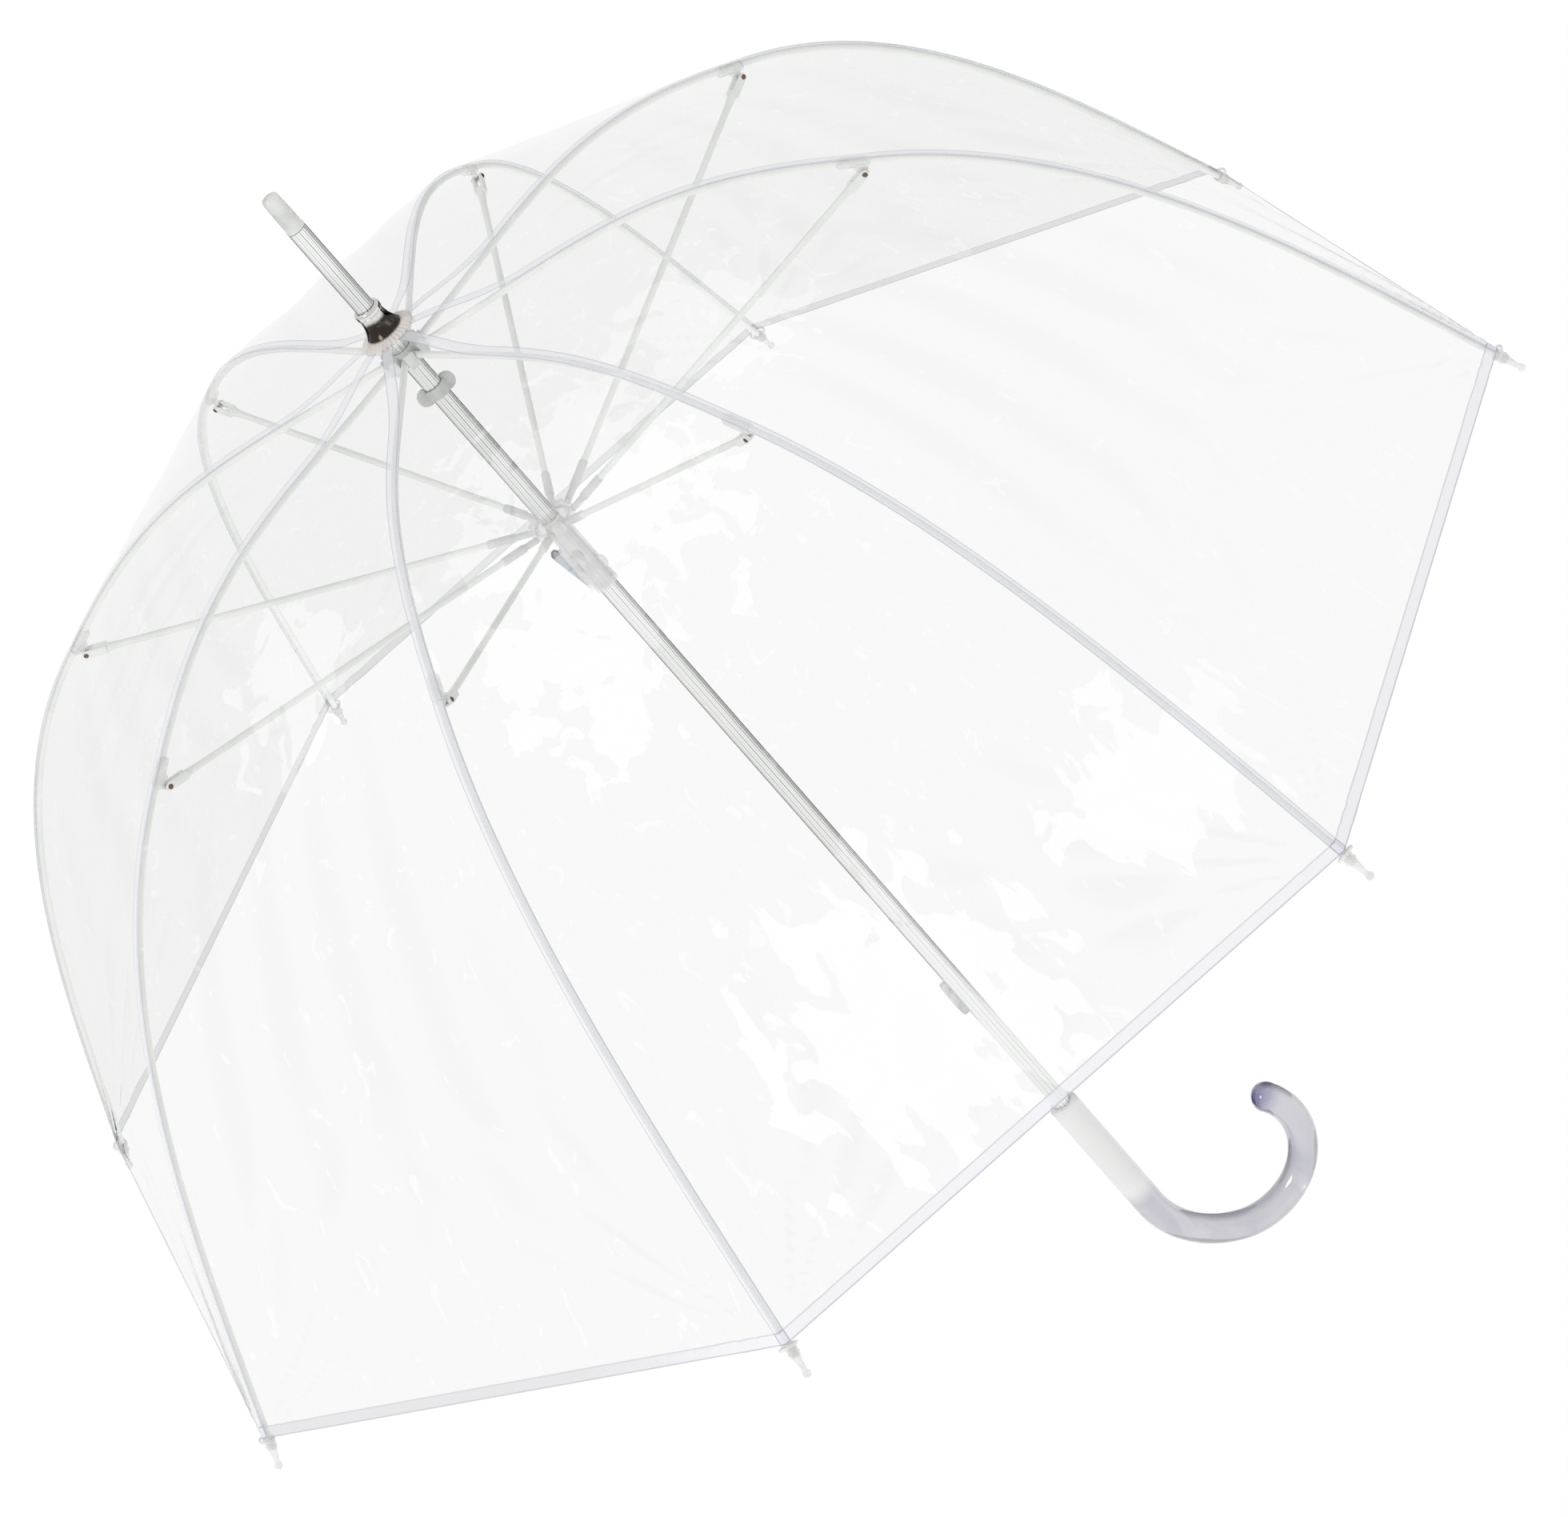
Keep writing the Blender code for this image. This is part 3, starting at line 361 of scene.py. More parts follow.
class Bench:
    """A material and the one way to put nodes in it."""

    def __init__(self, name: str) -> None:
        """Makes an empty material with its output."""
        self.material = bpy.data.materials.new(name)
        self.material.use_nodes = True
        self.tree = self.material.node_tree
        self.tree.nodes.clear()
        self.output = self.tree.nodes.new("ShaderNodeOutputMaterial")

    def node(
        self, kind: str, settings: dict | None = None, inputs: dict | None = None, out: int | str = 0
    ) -> Signal:
        """Adds a node.

        Args:
            kind: the node's type.
            settings: its properties, set first.
            inputs: values or signals for its sockets, by name or place.
            out: the output that is wanted, by name or place.

        Returns:
            That output.
        """
        node = self.tree.nodes.new(kind)
        for name, value in (settings or {}).items():
            setattr(node, name, value)
        for name, value in (inputs or {}).items():
            if isinstance(value, Signal):
                self.tree.links.new(value.socket, node.inputs[name])
            else:
                node.inputs[name].default_value = value
        return Signal(self, node.outputs[out])

    def surface(self, shader: Signal) -> bpy.types.Material:
        """Puts a shader on the material's output and gives the material."""
        self.tree.links.new(shader.socket, self.output.inputs["Surface"])
        return self.material

    def place(self) -> Signal:
        """The place on the object, in metres."""
        return self.node("ShaderNodeTexCoord", out="Object")

    def noise(
        self,
        scale: float,
        detail: float = 2.0,
        stretch: tuple = (1.0, 1.0, 1.0),
        warp: float = 0.0,
        at: Signal | None = None,
    ) -> Signal:
        """Smooth noise about 0.5.

        Args:
            scale: its waves to the metre.
            detail: how many finer layers it has.
            stretch: what multiplies the scale on each axis.
            warp: how far it is pulled about.
            at: where it is read, or the place on the object.
        """
        inputs = {0: at or self.place(), 1: stretch}
        spread = self.node("ShaderNodeVectorMath", {"operation": "MULTIPLY"}, inputs)
        inputs = {"Vector": spread, "Scale": scale, "Detail": detail, "Distortion": warp}
        return self.node("ShaderNodeTexNoise", inputs=inputs)

    def parts(self, vector: Signal) -> tuple[Signal, Signal, Signal]:
        """The three numbers of a vector."""
        node = self.tree.nodes.new("ShaderNodeSeparateXYZ")
        self.tree.links.new(vector.socket, node.inputs[0])
        return tuple(Signal(self, s) for s in node.outputs)

    def mix(self, factor: Signal | float, first: tuple | Signal, second: tuple | Signal) -> Signal:
        """The colour between two colours."""
        settings = {"data_type": "RGBA"}

        def four(colour: tuple | Signal) -> tuple | Signal:
            return colour if isinstance(colour, Signal) else (*colour, 1.0)

        return self.node("ShaderNodeMix", settings, {0: factor, 6: four(first), 7: four(second)}, out=2)

    def bump(self, height: Signal, distance: float) -> Signal:
        """A normal from a height of 0 to 1 that stands for that distance."""
        return self.node("ShaderNodeBump", inputs={"Height": height, "Distance": distance}, out="Normal")

    def gap(self, place: Signal, centre: tuple) -> Signal:
        """The distance of a place from a fixed one."""
        inputs = {0: place, 1: centre}
        return self.node("ShaderNodeVectorMath", {"operation": "DISTANCE"}, inputs, out="Value")

    def stored(self, name: str, out: str = "Fac") -> Signal:
        """A value that the mesh holds at each point."""
        return self.node("ShaderNodeAttribute", {"attribute_name": name}, out=out)

    def principled(self, **inputs: object) -> Signal:
        """A Principled shader. An underscore in a name stands for a space."""
        named = {name.replace("_", " "): value for name, value in inputs.items()}
        return self.node("ShaderNodeBsdfPrincipled", inputs=named)

    def see_through(self, cover: Signal | float, shader: Signal) -> Signal:
        """A shader that covers only a share of what is behind it."""
        clear = self.node("ShaderNodeBsdfTransparent")
        return self.node("ShaderNodeMixShader", inputs={0: cover, 1: clear, 2: shader})


def colour(value: tuple) -> tuple:
    """A colour with its alpha of 1."""
    return (*value, 1.0)


# Finishes


@dataclass(frozen=True)
class MouldedPlastic:
    """Translucent moulded plastic with a slightly uneven skin."""

    name: str
    light: tuple = (0.84, 0.85, 0.83)
    dark: tuple = (0.70, 0.72, 0.70)
    roughness: float = 0.28
    cover: float = 0.92
    cloud_scale: float = 160.0
    skin_scale: float = 900.0

    def material(self) -> bpy.types.Material:
        """Cloudy colour and a finely uneven gloss."""
        b = Bench(self.name)
        cloud = b.noise(self.cloud_scale, 3.0).step(0.35, 0.70)
        skin = b.noise(self.skin_scale, 2.0)
        shader = b.principled(
            Base_Color=b.mix(cloud, self.light, self.dark),
            Roughness=self.roughness + 0.12 * skin,
            IOR=1.5,
        )
        return b.surface(b.see_through(self.cover + 0.06 * cloud, shader))


@dataclass(frozen=True)
class HoodedPlastic:
    """Clear moulded plastic that is bluer and darker in the hood, beyond one radius."""

    name: str
    light: tuple = (0.96, 0.96, 0.95)
    dark: tuple = (0.82, 0.81, 0.82)
    blue: tuple = (0.58, 0.63, 0.70)
    hood_from: float = 0.0078
    hood_below: float = 0.4830
    cover: float = 0.36
    hood_cover: float = 0.30

    def material(self) -> bpy.types.Material:
        """Cloudy milk white, with the hood found by its place on the moulding."""
        b = Bench(self.name)
        place = b.place()
        x, _, z = b.parts(place)
        hood = x.step(-self.hood_from + 0.0006, -self.hood_from - 0.0006) * z.step(
            self.hood_below + 0.0008, self.hood_below - 0.0008
        )
        cloud = b.noise(190.0, 3.0, at=place).step(0.35, 0.70)
        shader = b.principled(
            Base_Color=b.mix(hood, b.mix(cloud, self.light, self.dark), self.blue),
            Roughness=0.14 + 0.10 * cloud,
            IOR=1.5,
        )
        return b.surface(b.see_through(self.cover + 0.08 * cloud + self.hood_cover * hood, shader))


@dataclass(frozen=True)
class Glassfibre:
    """Pale drawn rod with fine fibres along it."""

    name: str
    light: tuple = (0.97, 0.98, 0.95)
    dark: tuple = (0.85, 0.88, 0.84)
    roughness: float = 0.30
    fibre_scale: float = 260.0

    def material(self) -> bpy.types.Material:
        """Blotches some centimetres long and a fine fibre grain."""
        b = Bench(self.name)
        blotch = b.noise(34.0, 3.0).step(0.40, 0.72)
        fibre = b.noise(self.fibre_scale, 4.0, warp=0.6)
        shader = b.principled(
            Base_Color=b.mix(0.55 * blotch + 0.20 * fibre, self.light, self.dark),
            Roughness=self.roughness + 0.15 * fibre,
        )
        return b.surface(shader)


@dataclass(frozen=True)
class DrawnMetal:
    """Bright drawn metal with tarnish streaks along Z and polishing lines."""

    name: str
    bright: tuple = (0.86, 0.87, 0.87)
    dull: tuple = (0.42, 0.45, 0.43)
    roughness: float = 0.20
    streak: float = 0.5
    streak_scale: float = 9.0

    def material(self) -> bpy.types.Material:
        """Long dull streaks over a bright ground, with a fine drawn grain."""
        b = Bench(self.name)
        streak = b.noise(self.streak_scale, 4.0, (14.0, 14.0, 1.0), 0.4).step(0.48, 0.66)
        grain = b.noise(400.0, 2.0, (6.0, 6.0, 0.12))
        shader = b.principled(
            Base_Color=b.mix(self.streak * streak, self.bright, self.dull),
            Roughness=self.roughness + 0.10 * grain + 0.12 * streak,
            Normal=b.bump(grain, 0.00002),
            Metallic=1.0,
        )
        return b.surface(shader)


@dataclass(frozen=True)
class FlutedAluminium:
    """Bright fluted tube, with painted shade in the bottom of its flutes."""

    name: str
    bright: tuple = (0.93, 0.94, 0.93)
    # the painted shade colour in the flutes and the slot
    dull: tuple = (0.30, 0.31, 0.30)
    roughness: float = 0.07

    def material(self) -> bpy.types.Material:
        """Painted shade: the stored groove depth darkens the metal, more in some lengths than in others."""
        b = Bench(self.name)
        groove = b.stored("groove")
        length = b.noise(7.0, 4.0, (9.0, 9.0, 1.0), 0.5).step(0.40, 0.62)
        grain = b.noise(420.0, 3.0, (5.0, 5.0, 0.15))
        shader = b.principled(
            Base_Color=b.mix(groove * (0.35 + 0.60 * length) + 0.05 * grain, self.bright, self.dull),
            Roughness=self.roughness + 0.05 * grain,
            Metallic=0.92,
        )
        return b.surface(shader)


@dataclass(frozen=True)
class DarkChrome:
    """Chrome with painted reflections: near black where it flares, a painted dark reflection, and brighter
    round its collar, a painted bright reflection.
    """

    name: str
    # near black: painted dark reflection; pale: painted bright reflection round the collar
    deep: tuple = (0.050, 0.042, 0.034)
    pale: tuple = (0.80, 0.79, 0.76)
    reflection_from: float = 0.6385

    def material(self) -> bpy.types.Material:
        """Height sets the painted reflection, and a mottled haze the polish."""
        b = Bench(self.name)
        place = b.place()
        haze = b.noise(90.0, 4.0, warp=0.8, at=place)
        # painted reflection: pale above the collar's height, near black below it
        rise = (b.parts(place)[2] + 0.003 * haze).step(self.reflection_from, self.reflection_from + 0.0022)
        shader = b.principled(
            Base_Color=b.mix((rise + 0.35 * haze.step(0.60, 0.70)), self.deep, self.pale),
            Roughness=0.05 + 0.08 * haze,
            Normal=b.bump(haze, 0.00005),
            Metallic=1.0,
        )
        return b.surface(shader)


@dataclass(frozen=True)
class ClearAcrylic:
    """Clear cast acrylic: milky above one height, tinted below it, deepest at one place.

    Painted shade on its edges: it is darker by rim_share within rim_full of the plane Y = 0, which fades out
    at rim_reach.
    """

    name: str
    milky: tuple = (0.95, 0.95, 0.94)
    clear: tuple = (0.78, 0.78, 0.82)
    tint: tuple = (0.58, 0.57, 0.66)
    deep: tuple = (0.16, 0.14, 0.38)
    # the painted edge shade colour
    edge_shade: tuple = (0.34, 0.34, 0.42)
    rim_share: float = 0.75
    rim_full: float = 0.0004
    rim_reach: float = 0.0062
    deep_at: tuple = (0.0, 0.0, 0.0)
    deep_reach: float = 0.016
    milky_from: float = -0.030
    milky_fade: float = 0.008
    roughness: float = 0.04
    transmission: float = 0.62
    milky_transmission: float = 0.10

    def material(self) -> bpy.types.Material:
        """Glassy body with flow lines and painted shade on its edges. Its milky part is less see-through."""
        b = Bench(self.name)
        place = b.place()
        gap = b.gap(place, self.deep_at)
        flow = b.noise(38.0, 3.0, (1.0, 1.0, 0.4), 0.9)
        _, aside, height = b.parts(place)
        milk = height.step(self.milky_from - self.milky_fade, self.milky_from + self.milky_fade)
        ground = b.mix(milk, b.mix(flow.step(0.35, 0.75), self.clear, self.tint), self.milky)
        # painted shade along the crook's edges, near the plane Y = 0
        edge_shade = aside.size().step(self.rim_reach, self.rim_full)
        ground = b.mix(self.rim_share * edge_shade * (1.0 - 0.6 * milk), ground, self.edge_shade)
        shader = b.principled(
            Base_Color=b.mix(gap.step(self.deep_reach, 0.2 * self.deep_reach), ground, self.deep),
            Roughness=self.roughness + 0.03 * flow,
            Normal=b.bump(flow, 0.0001),
            IOR=1.49,
            Specular_IOR_Level=1.0,
            Coat_Weight=1.0,
            Coat_Roughness=0.03,
            Transmission_Weight=self.transmission,
        )
        shell = b.principled(
            Base_Color=b.mix(0.2 * flow + 0.35 * edge_shade, self.milky, self.clear),
            Roughness=0.16 + 0.05 * flow,
            IOR=1.49,
            Transmission_Weight=self.milky_transmission,
        )
        return b.surface(b.node("ShaderNodeMixShader", inputs={0: milk, 1: shader, 2: shell}))


@dataclass(frozen=True)
class PleatedFilm:
    """Pinkish film pleated like a fan."""

    name: str
    light: tuple = (0.93, 0.88, 0.85)
    dark: tuple = (0.66, 0.58, 0.55)

    def material(self) -> bpy.types.Material:
        """Warm blotches and a fine crinkle."""
        b = Bench(self.name)
        crinkle = b.noise(700.0, 3.0)
        blotch = b.noise(170.0, 3.0).step(0.42, 0.68)
        shader = b.principled(
            Base_Color=b.mix(0.6 * blotch + 0.2 * crinkle, self.light, self.dark),
            Roughness=0.25 + 0.2 * crinkle,
            Normal=b.bump(crinkle, 0.00012),
        )
        return b.surface(b.see_through(0.80 + 0.15 * blotch, shader))


@dataclass(frozen=True)
class Glare:
    """A painted highlight on the film: a white patch, as an oval about a place."""

    centre: tuple
    reach: float


@dataclass(frozen=True)
class ClearFilm:
    """Clear soft film, with welded seams, a folded hem and creases.

    The film's own attribute holds, in metres, the distance from the seam, the distance
    along it from the crown, and the distance from the hem. A second one holds the crease.
    """

    name: str = "canopy_film"
    body: tuple = (0.14, 0.15, 0.13)
    # the painted highlight colour
    glare_white: tuple = (0.92, 0.92, 0.92)
    weld: tuple = (0.84, 0.84, 0.89)
    # the hem's grey, also its painted shade away from the lit side; the next colour is its painted light
    fold: tuple = (0.62, 0.62, 0.64)
    fold_painted_light: tuple = (0.86, 0.86, 0.92)
    weld_edge: tuple = (0.50, 0.50, 0.58)
    cover: float = 0.080
    glare_cover: float = 0.09
    weld_cover: float = 0.50
    hem_cover: float = 0.46
    edge_cover: float = 0.20
    seam_half: float = 0.0017
    hem_width: float = 0.0062
    lit_from: float = 0.20
    lit_to: float = 0.34
    glares: tuple = ()

    def material(self) -> bpy.types.Material:
        """Thin cover in the film, more on seams and hem, and most on their edge lines; painted highlights add
        cover and glow a little.

        The hem's fold has painted light on the side towards +X and -Y and painted shade on the other side.
        """
        b = Bench(self.name)
        across, _, from_hem = b.parts(b.stored("film_place", "Vector"))
        crease = b.stored("film_crease")
        seam = across.step(self.seam_half + 0.0002, self.seam_half - 0.0001)
        seam_line = (across - self.seam_half).size().step(0.0005, 0.0001)
        hem = from_hem.step(self.hem_width + 0.0003, self.hem_width - 0.0002)
        hem_line = (from_hem - self.hem_width).size().step(0.0006, 0.0001)
        hem_line = hem_line.larger((from_hem - 0.0004).size().step(0.0006, 0.0001))
        lines = seam_line.larger(hem_line)
        fine = b.noise(300.0, 2.0)
        # streak: the painted highlights
        streak = self._glare(b)
        # creases get more cover, which darkens them as painted shade
        cover = self.cover + 0.035 * crease.step(0.35, 0.9) + 0.01 * fine.step(0.5, 0.8)
        cover = cover + self.glare_cover * streak + self.weld_cover * seam
        cover = cover + self.hem_cover * hem + self.edge_cover * lines
        body = b.mix(streak, self.body, self.glare_white)
        x, y, _ = b.parts(b.place())
        # painted light and shade on the hem's fold, by which side it is on
        lit = (0.5 * x - y + 0.06 * fine).step(self.lit_from, self.lit_to)
        fold = b.mix(lit, self.fold, self.fold_painted_light)
        ground = b.mix(seam, b.mix(hem, body, fold), self.weld)
        shader = b.principled(
            Base_Color=b.mix(lines, ground, self.weld_edge),
            Roughness=0.16 + 0.22 * seam.larger(hem) + 0.05 * fine,
            IOR=1.46,
            Specular_IOR_Level=0.22,
            # the painted highlights glow a little, though the film is no lamp
            Emission_Color=b.mix(streak, (0.0, 0.0, 0.0), (0.04, 0.04, 0.04)),
            Emission_Strength=1.0,
        )
        return b.surface(b.see_through(cover, shader))

    def _glare(self, b: Bench) -> Signal:
        """Painted highlights: white streaked patches, the ovals torn by noise that is long down the gore, and
        thin streaks all over.
        """
        place = b.place()
        tear = b.noise(12.0, 6.0, (4.5, 4.5, 0.8), 0.9, place)
        total: Signal | float = 0.0
        for glare in self.glares:
            patch = (b.gap(place, glare.centre) / glare.reach + 3.2 * (0.5 - tear)).step(0.90, 0.80)
            total = patch if isinstance(total, float) else total.larger(patch)
        thin = b.noise(18.0, 6.0, (6.0, 6.0, 0.5), 1.2, place).step(0.64, 0.66)
        return thin if isinstance(total, float) else total.larger(0.8 * thin)


# What every sub-assembly uses


def placed(name: str, data: bpy.types.ID) -> bpy.types.Object:
    """A new object in the scene, at the origin."""
    obj = bpy.data.objects.new(name, data)
    bpy.context.scene.collection.objects.link(obj)
    return obj


def aimed(obj: bpy.types.Object, right: np.ndarray, up: np.ndarray, back: np.ndarray, at: tuple) -> None:
    """Turns a lamp or camera to those axes and moves it to a place."""
    obj.matrix_world = Matrix(np.column_stack([right, up, back]).tolist()).to_4x4()
    obj.matrix_world.translation = at


def put(
    name: str, shape: Shape, material: bpy.types.Material, body: str, sharp: float
) -> bpy.types.Object:
    """Makes a piece from a shape, with its material, riding on a body.

    Args:
        name: the piece's name.
        shape: its shells, in the row frame.
        material: its finish.
        body: the body that it moves with.
        sharp: the angle in degrees past which an edge stays sharp.

    Returns:
        The new object, at the origin.
    """
    mesh = shape.mesh(name, sharp)
    mesh.materials.append(material)
    obj = placed(name, mesh)
    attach(obj, body)
    log.info("%s: %d faces on %s", name, len(mesh.polygons), body)
    return obj


def dress(node: bpy.types.Object, material: bpy.types.Material) -> None:
    """Gives a carried-over node its finish, smooth over its shallow edges."""
    node.data.shade_smooth()
    node.data.set_sharp_from_angle(angle=math.radians(32.0))
    node.data.materials.clear()
    node.data.materials.append(material)
    log.info("%s keeps its mesh", node.name)


@dataclass(frozen=True)
class RibLine:
    """The rib's centre line in its plane, and the film's seam line over it."""

    notch: tuple = (0.0100, 0.613)
    elbow: tuple = (0.235, 0.573)
    hem: tuple = (0.420, 0.3125)
    elbow_slope: float = 29.0
    hem_slope: float = 65.5
    upper_share: float = 0.42
    lower_share: float = 0.335
    saddle_back: float = 0.013
    flex_ahead: float = 0.0045
    beyond_hem: float = 0.007
    film_offset: float = 0.00276
    film_start: float = 0.0062
    film_drop: float = 0.0036
    dip_radius: float = 0.095
    crown_split: float = 0.034
    cup_rim: float = 0.630

    def upper(self, count: int) -> tuple[np.ndarray, np.ndarray]:
        """The bend from the notch to the bracket."""
        end = np.array(self.elbow) - self.saddle_back * down_slope(self.elbow_slope)
        t = np.linspace(0, 1, count)
        start = np.array(self.notch)
        return cubic(start, down_slope(0.0), end, down_slope(self.elbow_slope), self.upper_share, t)

    def lower(self, count: int) -> tuple[np.ndarray, np.ndarray]:
        """The bend from the bracket to the hem."""
        start = np.array(self.elbow) + self.flex_ahead * down_slope(self.elbow_slope)
        t = np.linspace(0, 1, count)
        start_way, end_way = down_slope(self.elbow_slope), down_slope(self.hem_slope)
        return cubic(start, start_way, np.array(self.hem), end_way, self.lower_share, t)

    def flex(self) -> np.ndarray:
        """Where the lower rib bends."""
        return np.array(self.elbow) + self.flex_ahead * down_slope(self.elbow_slope)

    def film(self, step: float) -> np.ndarray:
        """The seam line from crown to hem.

        It is the rib's line moved out by the offset. Near the crown it rises to the cup by
        lift x (0.5 + 0.5 cos(pi x share))^2, where share runs from 0 at the film's top edge
        to 1 where it comes down onto the rib.
        """
        t = np.linspace(0, 1, 400)
        places, ways = self.upper(400)
        top = places + self.film_offset * outward_of(ways)
        top[:, 0] -= (self.notch[0] - self.film_start) * (1 - t) ** 4
        share = np.clip((top[:, 0] - self.film_start) / (self.dip_radius - self.film_start), 0, 1)
        lift = self.cup_rim - self.film_drop - self.notch[1] - self.film_offset
        top[:, 1] += lift * (0.5 + 0.5 * np.cos(math.pi * share)) ** 2
        places, ways = self.lower(400)
        line = np.concatenate([top, places + self.film_offset * outward_of(ways)])
        return resampled(line, int(along(line)[-1] / step) + 1)


def in_plane(places: np.ndarray) -> np.ndarray:
    """(radius, height) points as places in the plane of azimuth 0."""
    return np.stack([places[:, 0], np.zeros(len(places)), places[:, 1]], axis=1)


ACROSS = np.array([0.0, 1.0, 0.0])


# Shaft and crown


@dataclass(frozen=True)
class Shaft:
    """The fluted tube, with its key slot behind."""

    radius: float = 0.0049
    top: float = 0.696
    bottom: float = -0.0255
    flutes: int = 24
    flute_depth: float = 0.00030
    columns_per_flute: int = 6
    slot_half: float = 0.0012
    slot_low: float = 0.1136
    slot_high: float = 0.4588
    slot_depth: float = 0.0016

    def shape(self) -> Shape:
        """The tube: radius - depth (1 - |sin(n a / 2)|)^2.

        Every other flute is shallower, and the tube is sunk inside the slot.
        """
        sides = self.flutes * self.columns_per_flute
        a = np.arange(sides) * (2 * math.pi / sides)
        edge = 0.00002
        marks = [self.slot_low, self.slot_low + edge, self.slot_high - edge, self.slot_high]
        z = np.sort(np.concatenate([np.linspace(self.bottom, self.top, 90), marks]))
        uneven = 0.72 + 0.28 * np.cos(self.flutes * a / 2)
        ripple = self.flute_depth * (1 - np.abs(np.sin(self.flutes * a / 2))) ** 2 * uneven
        in_slot = (np.abs(np.cos(a) * self.radius) < self.slot_half) & (np.sin(a) > 0)
        tall = (z > self.slot_low + edge / 2) & (z < self.slot_high - edge / 2)
        r = self.radius - ripple[None, :] - self.slot_depth * (tall[:, None] & in_slot[None, :])
        grid = np.stack([r * np.cos(a), r * np.sin(a), np.broadcast_to(z[:, None], r.shape)], axis=-1)
        return Shape().tube(grid)

    def groove(self, mesh: bpy.types.Mesh) -> None:
        """Stores how deep each point lies in a flute or in the slot, from 0 to 1."""
        places = np.empty(3 * len(mesh.vertices))
        mesh.vertices.foreach_get("co", places)
        away = np.hypot(*places.reshape(-1, 3)[:, :2].T)
        depth = np.clip((self.radius - away) / self.flute_depth, 0, 1)
        layer = mesh.attributes.new("groove", "FLOAT", "POINT")
        layer.data.foreach_set("value", depth.astype(np.float32))

    def build(self) -> None:
        """Makes the shaft."""
        obj = put("fluted_shaft", self.shape(), FlutedAluminium("fluted_aluminium").material(), "shaft", 60.0)
        self.groove(obj.data)
        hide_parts("shaft_tube")


@dataclass(frozen=True)
class Crown:
    """Ferrule cap, bell cup, pleated rosette, notch and the stop under it."""

    cup_rim: float = 0.630
    cup_height: float = 0.014
    cup_neck_radius: float = 0.0065
    cup_rim_radius: float = 0.0096
    shaft_radius: float = 0.0049
    rosette_radius: float = 0.0145
    rosette_inner: float = 0.0053
    ferrule_base: float = 0.6963
    ferrule_length: float = 0.021

    def cup(self) -> Shape:
        """Bell cup: neck + flare (1 - share)^2.2, with a collar above."""
        share = np.linspace(1, 0, 24)
        tall = self.cup_height - 0.0035
        flare = self.cup_rim_radius - self.cup_neck_radius
        bell_r = self.cup_neck_radius + flare * (1 - share) ** 2.2
        bell = np.stack([bell_r, self.cup_rim + tall * share], axis=1)
        collar = self.cup_neck_radius + 0.0004
        top = self.cup_rim + self.cup_height
        head = np.array([[self.shaft_radius + 0.0003, top], [collar - 0.0004, top], [collar, top - 0.0004]])
        neck = self.cup_rim + tall
        groove = np.array([[collar, neck + 0.0005], [self.cup_neck_radius - 0.0002, neck + 0.0002]])
        inner = bell[::-1] - np.array([0.0007, 0.0])
        inner[-1, 0] = self.shaft_radius + 0.0003
        return Shape().ring(lathe_grid(np.concatenate([head, groove, bell, inner]), 72))

    def rosette(self) -> Shape:
        """Fan-pleated washer that hangs a little at its edge."""
        rows = 10
        r = np.linspace(self.rosette_inner, self.rosette_radius, rows)
        share = (r - self.rosette_inner) / (self.rosette_radius - self.rosette_inner)
        middle = self.cup_rim - 0.0009 - 0.0024 * ease(r, self.cup_rim_radius, self.rosette_radius + 0.002)
        depth = 0.00055 * ease(share, 0.15, 0.9)
        up = np.stack([r, middle + 0.00012], axis=1)
        under = np.stack([r, middle - 0.00012], axis=1)[::-1]
        profile = np.concatenate([up, under])
        return Shape().ring(lathe_grid(profile, 288, 36, np.concatenate([depth, depth[::-1]])))

    def ferrule(self) -> Shape:
        """End cap with a foot ring, a long taper and a rounded end."""
        top = self.ferrule_base + self.ferrule_length
        base = self.ferrule_base
        profile = np.array(
            [
                [0.0007, base - 0.0055],
                [0.0036, base - 0.0055],
                [0.0039, base - 0.0050],
                [0.0039, base],
                [0.0048, base],
                [0.0050, base + 0.0003],
                [0.0050, base + 0.0012],
                [0.0047, base + 0.0016],
                [0.0044, top - 0.0022],
                [0.0043, top - 0.0013],
                [0.0038, top - 0.0005],
                [0.0030, top - 0.0001],
                [0.0024, top],
                [0.0006, top],
            ]
        )
        return Shape().tube(lathe_grid(profile, 48))

    def build(self, nodes: dict) -> None:
        """Makes the crown's pieces and dresses the notch, its wire and the stop."""
        cup = put("bell_cup", self.cup(), DarkChrome("smoked_chrome").material(), "shaft", 50.0)
        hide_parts("crown_cup")
        pleated = PleatedFilm("rosette_film").material()
        rosette = put("pleated_rosette", self.rosette(), pleated, "shaft", 80.0)
        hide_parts("crown_rosette")
        clear = MouldedPlastic("ferrule_plastic", (0.88, 0.89, 0.87), (0.56, 0.58, 0.55), 0.08, 0.90, 60.0)
        ferrule = put("clear_ferrule", self.ferrule(), clear.material(), "shaft", 40.0)
        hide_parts("ferrule_cap")
        dress(nodes["top_notch"], MouldedPlastic("notch_plastic", cover=0.96).material())
        steel = DrawnMetal("hinge_wire_steel", (0.72, 0.72, 0.71), (0.45, 0.44, 0.42), 0.3).material()
        dress(nodes["notch_wire"], steel)
        dress(nodes["runner_wire"], steel)
        stop = MouldedPlastic("stop_plastic", (0.72, 0.73, 0.71), (0.58, 0.60, 0.58), cover=0.80)
        dress(nodes["stop_collar"], stop.material())
        spring = DrawnMetal("spring_steel", (0.5, 0.5, 0.5), (0.25, 0.24, 0.23), 0.3)
        dress(nodes["drive_spring"], spring.material())


# Runner and button


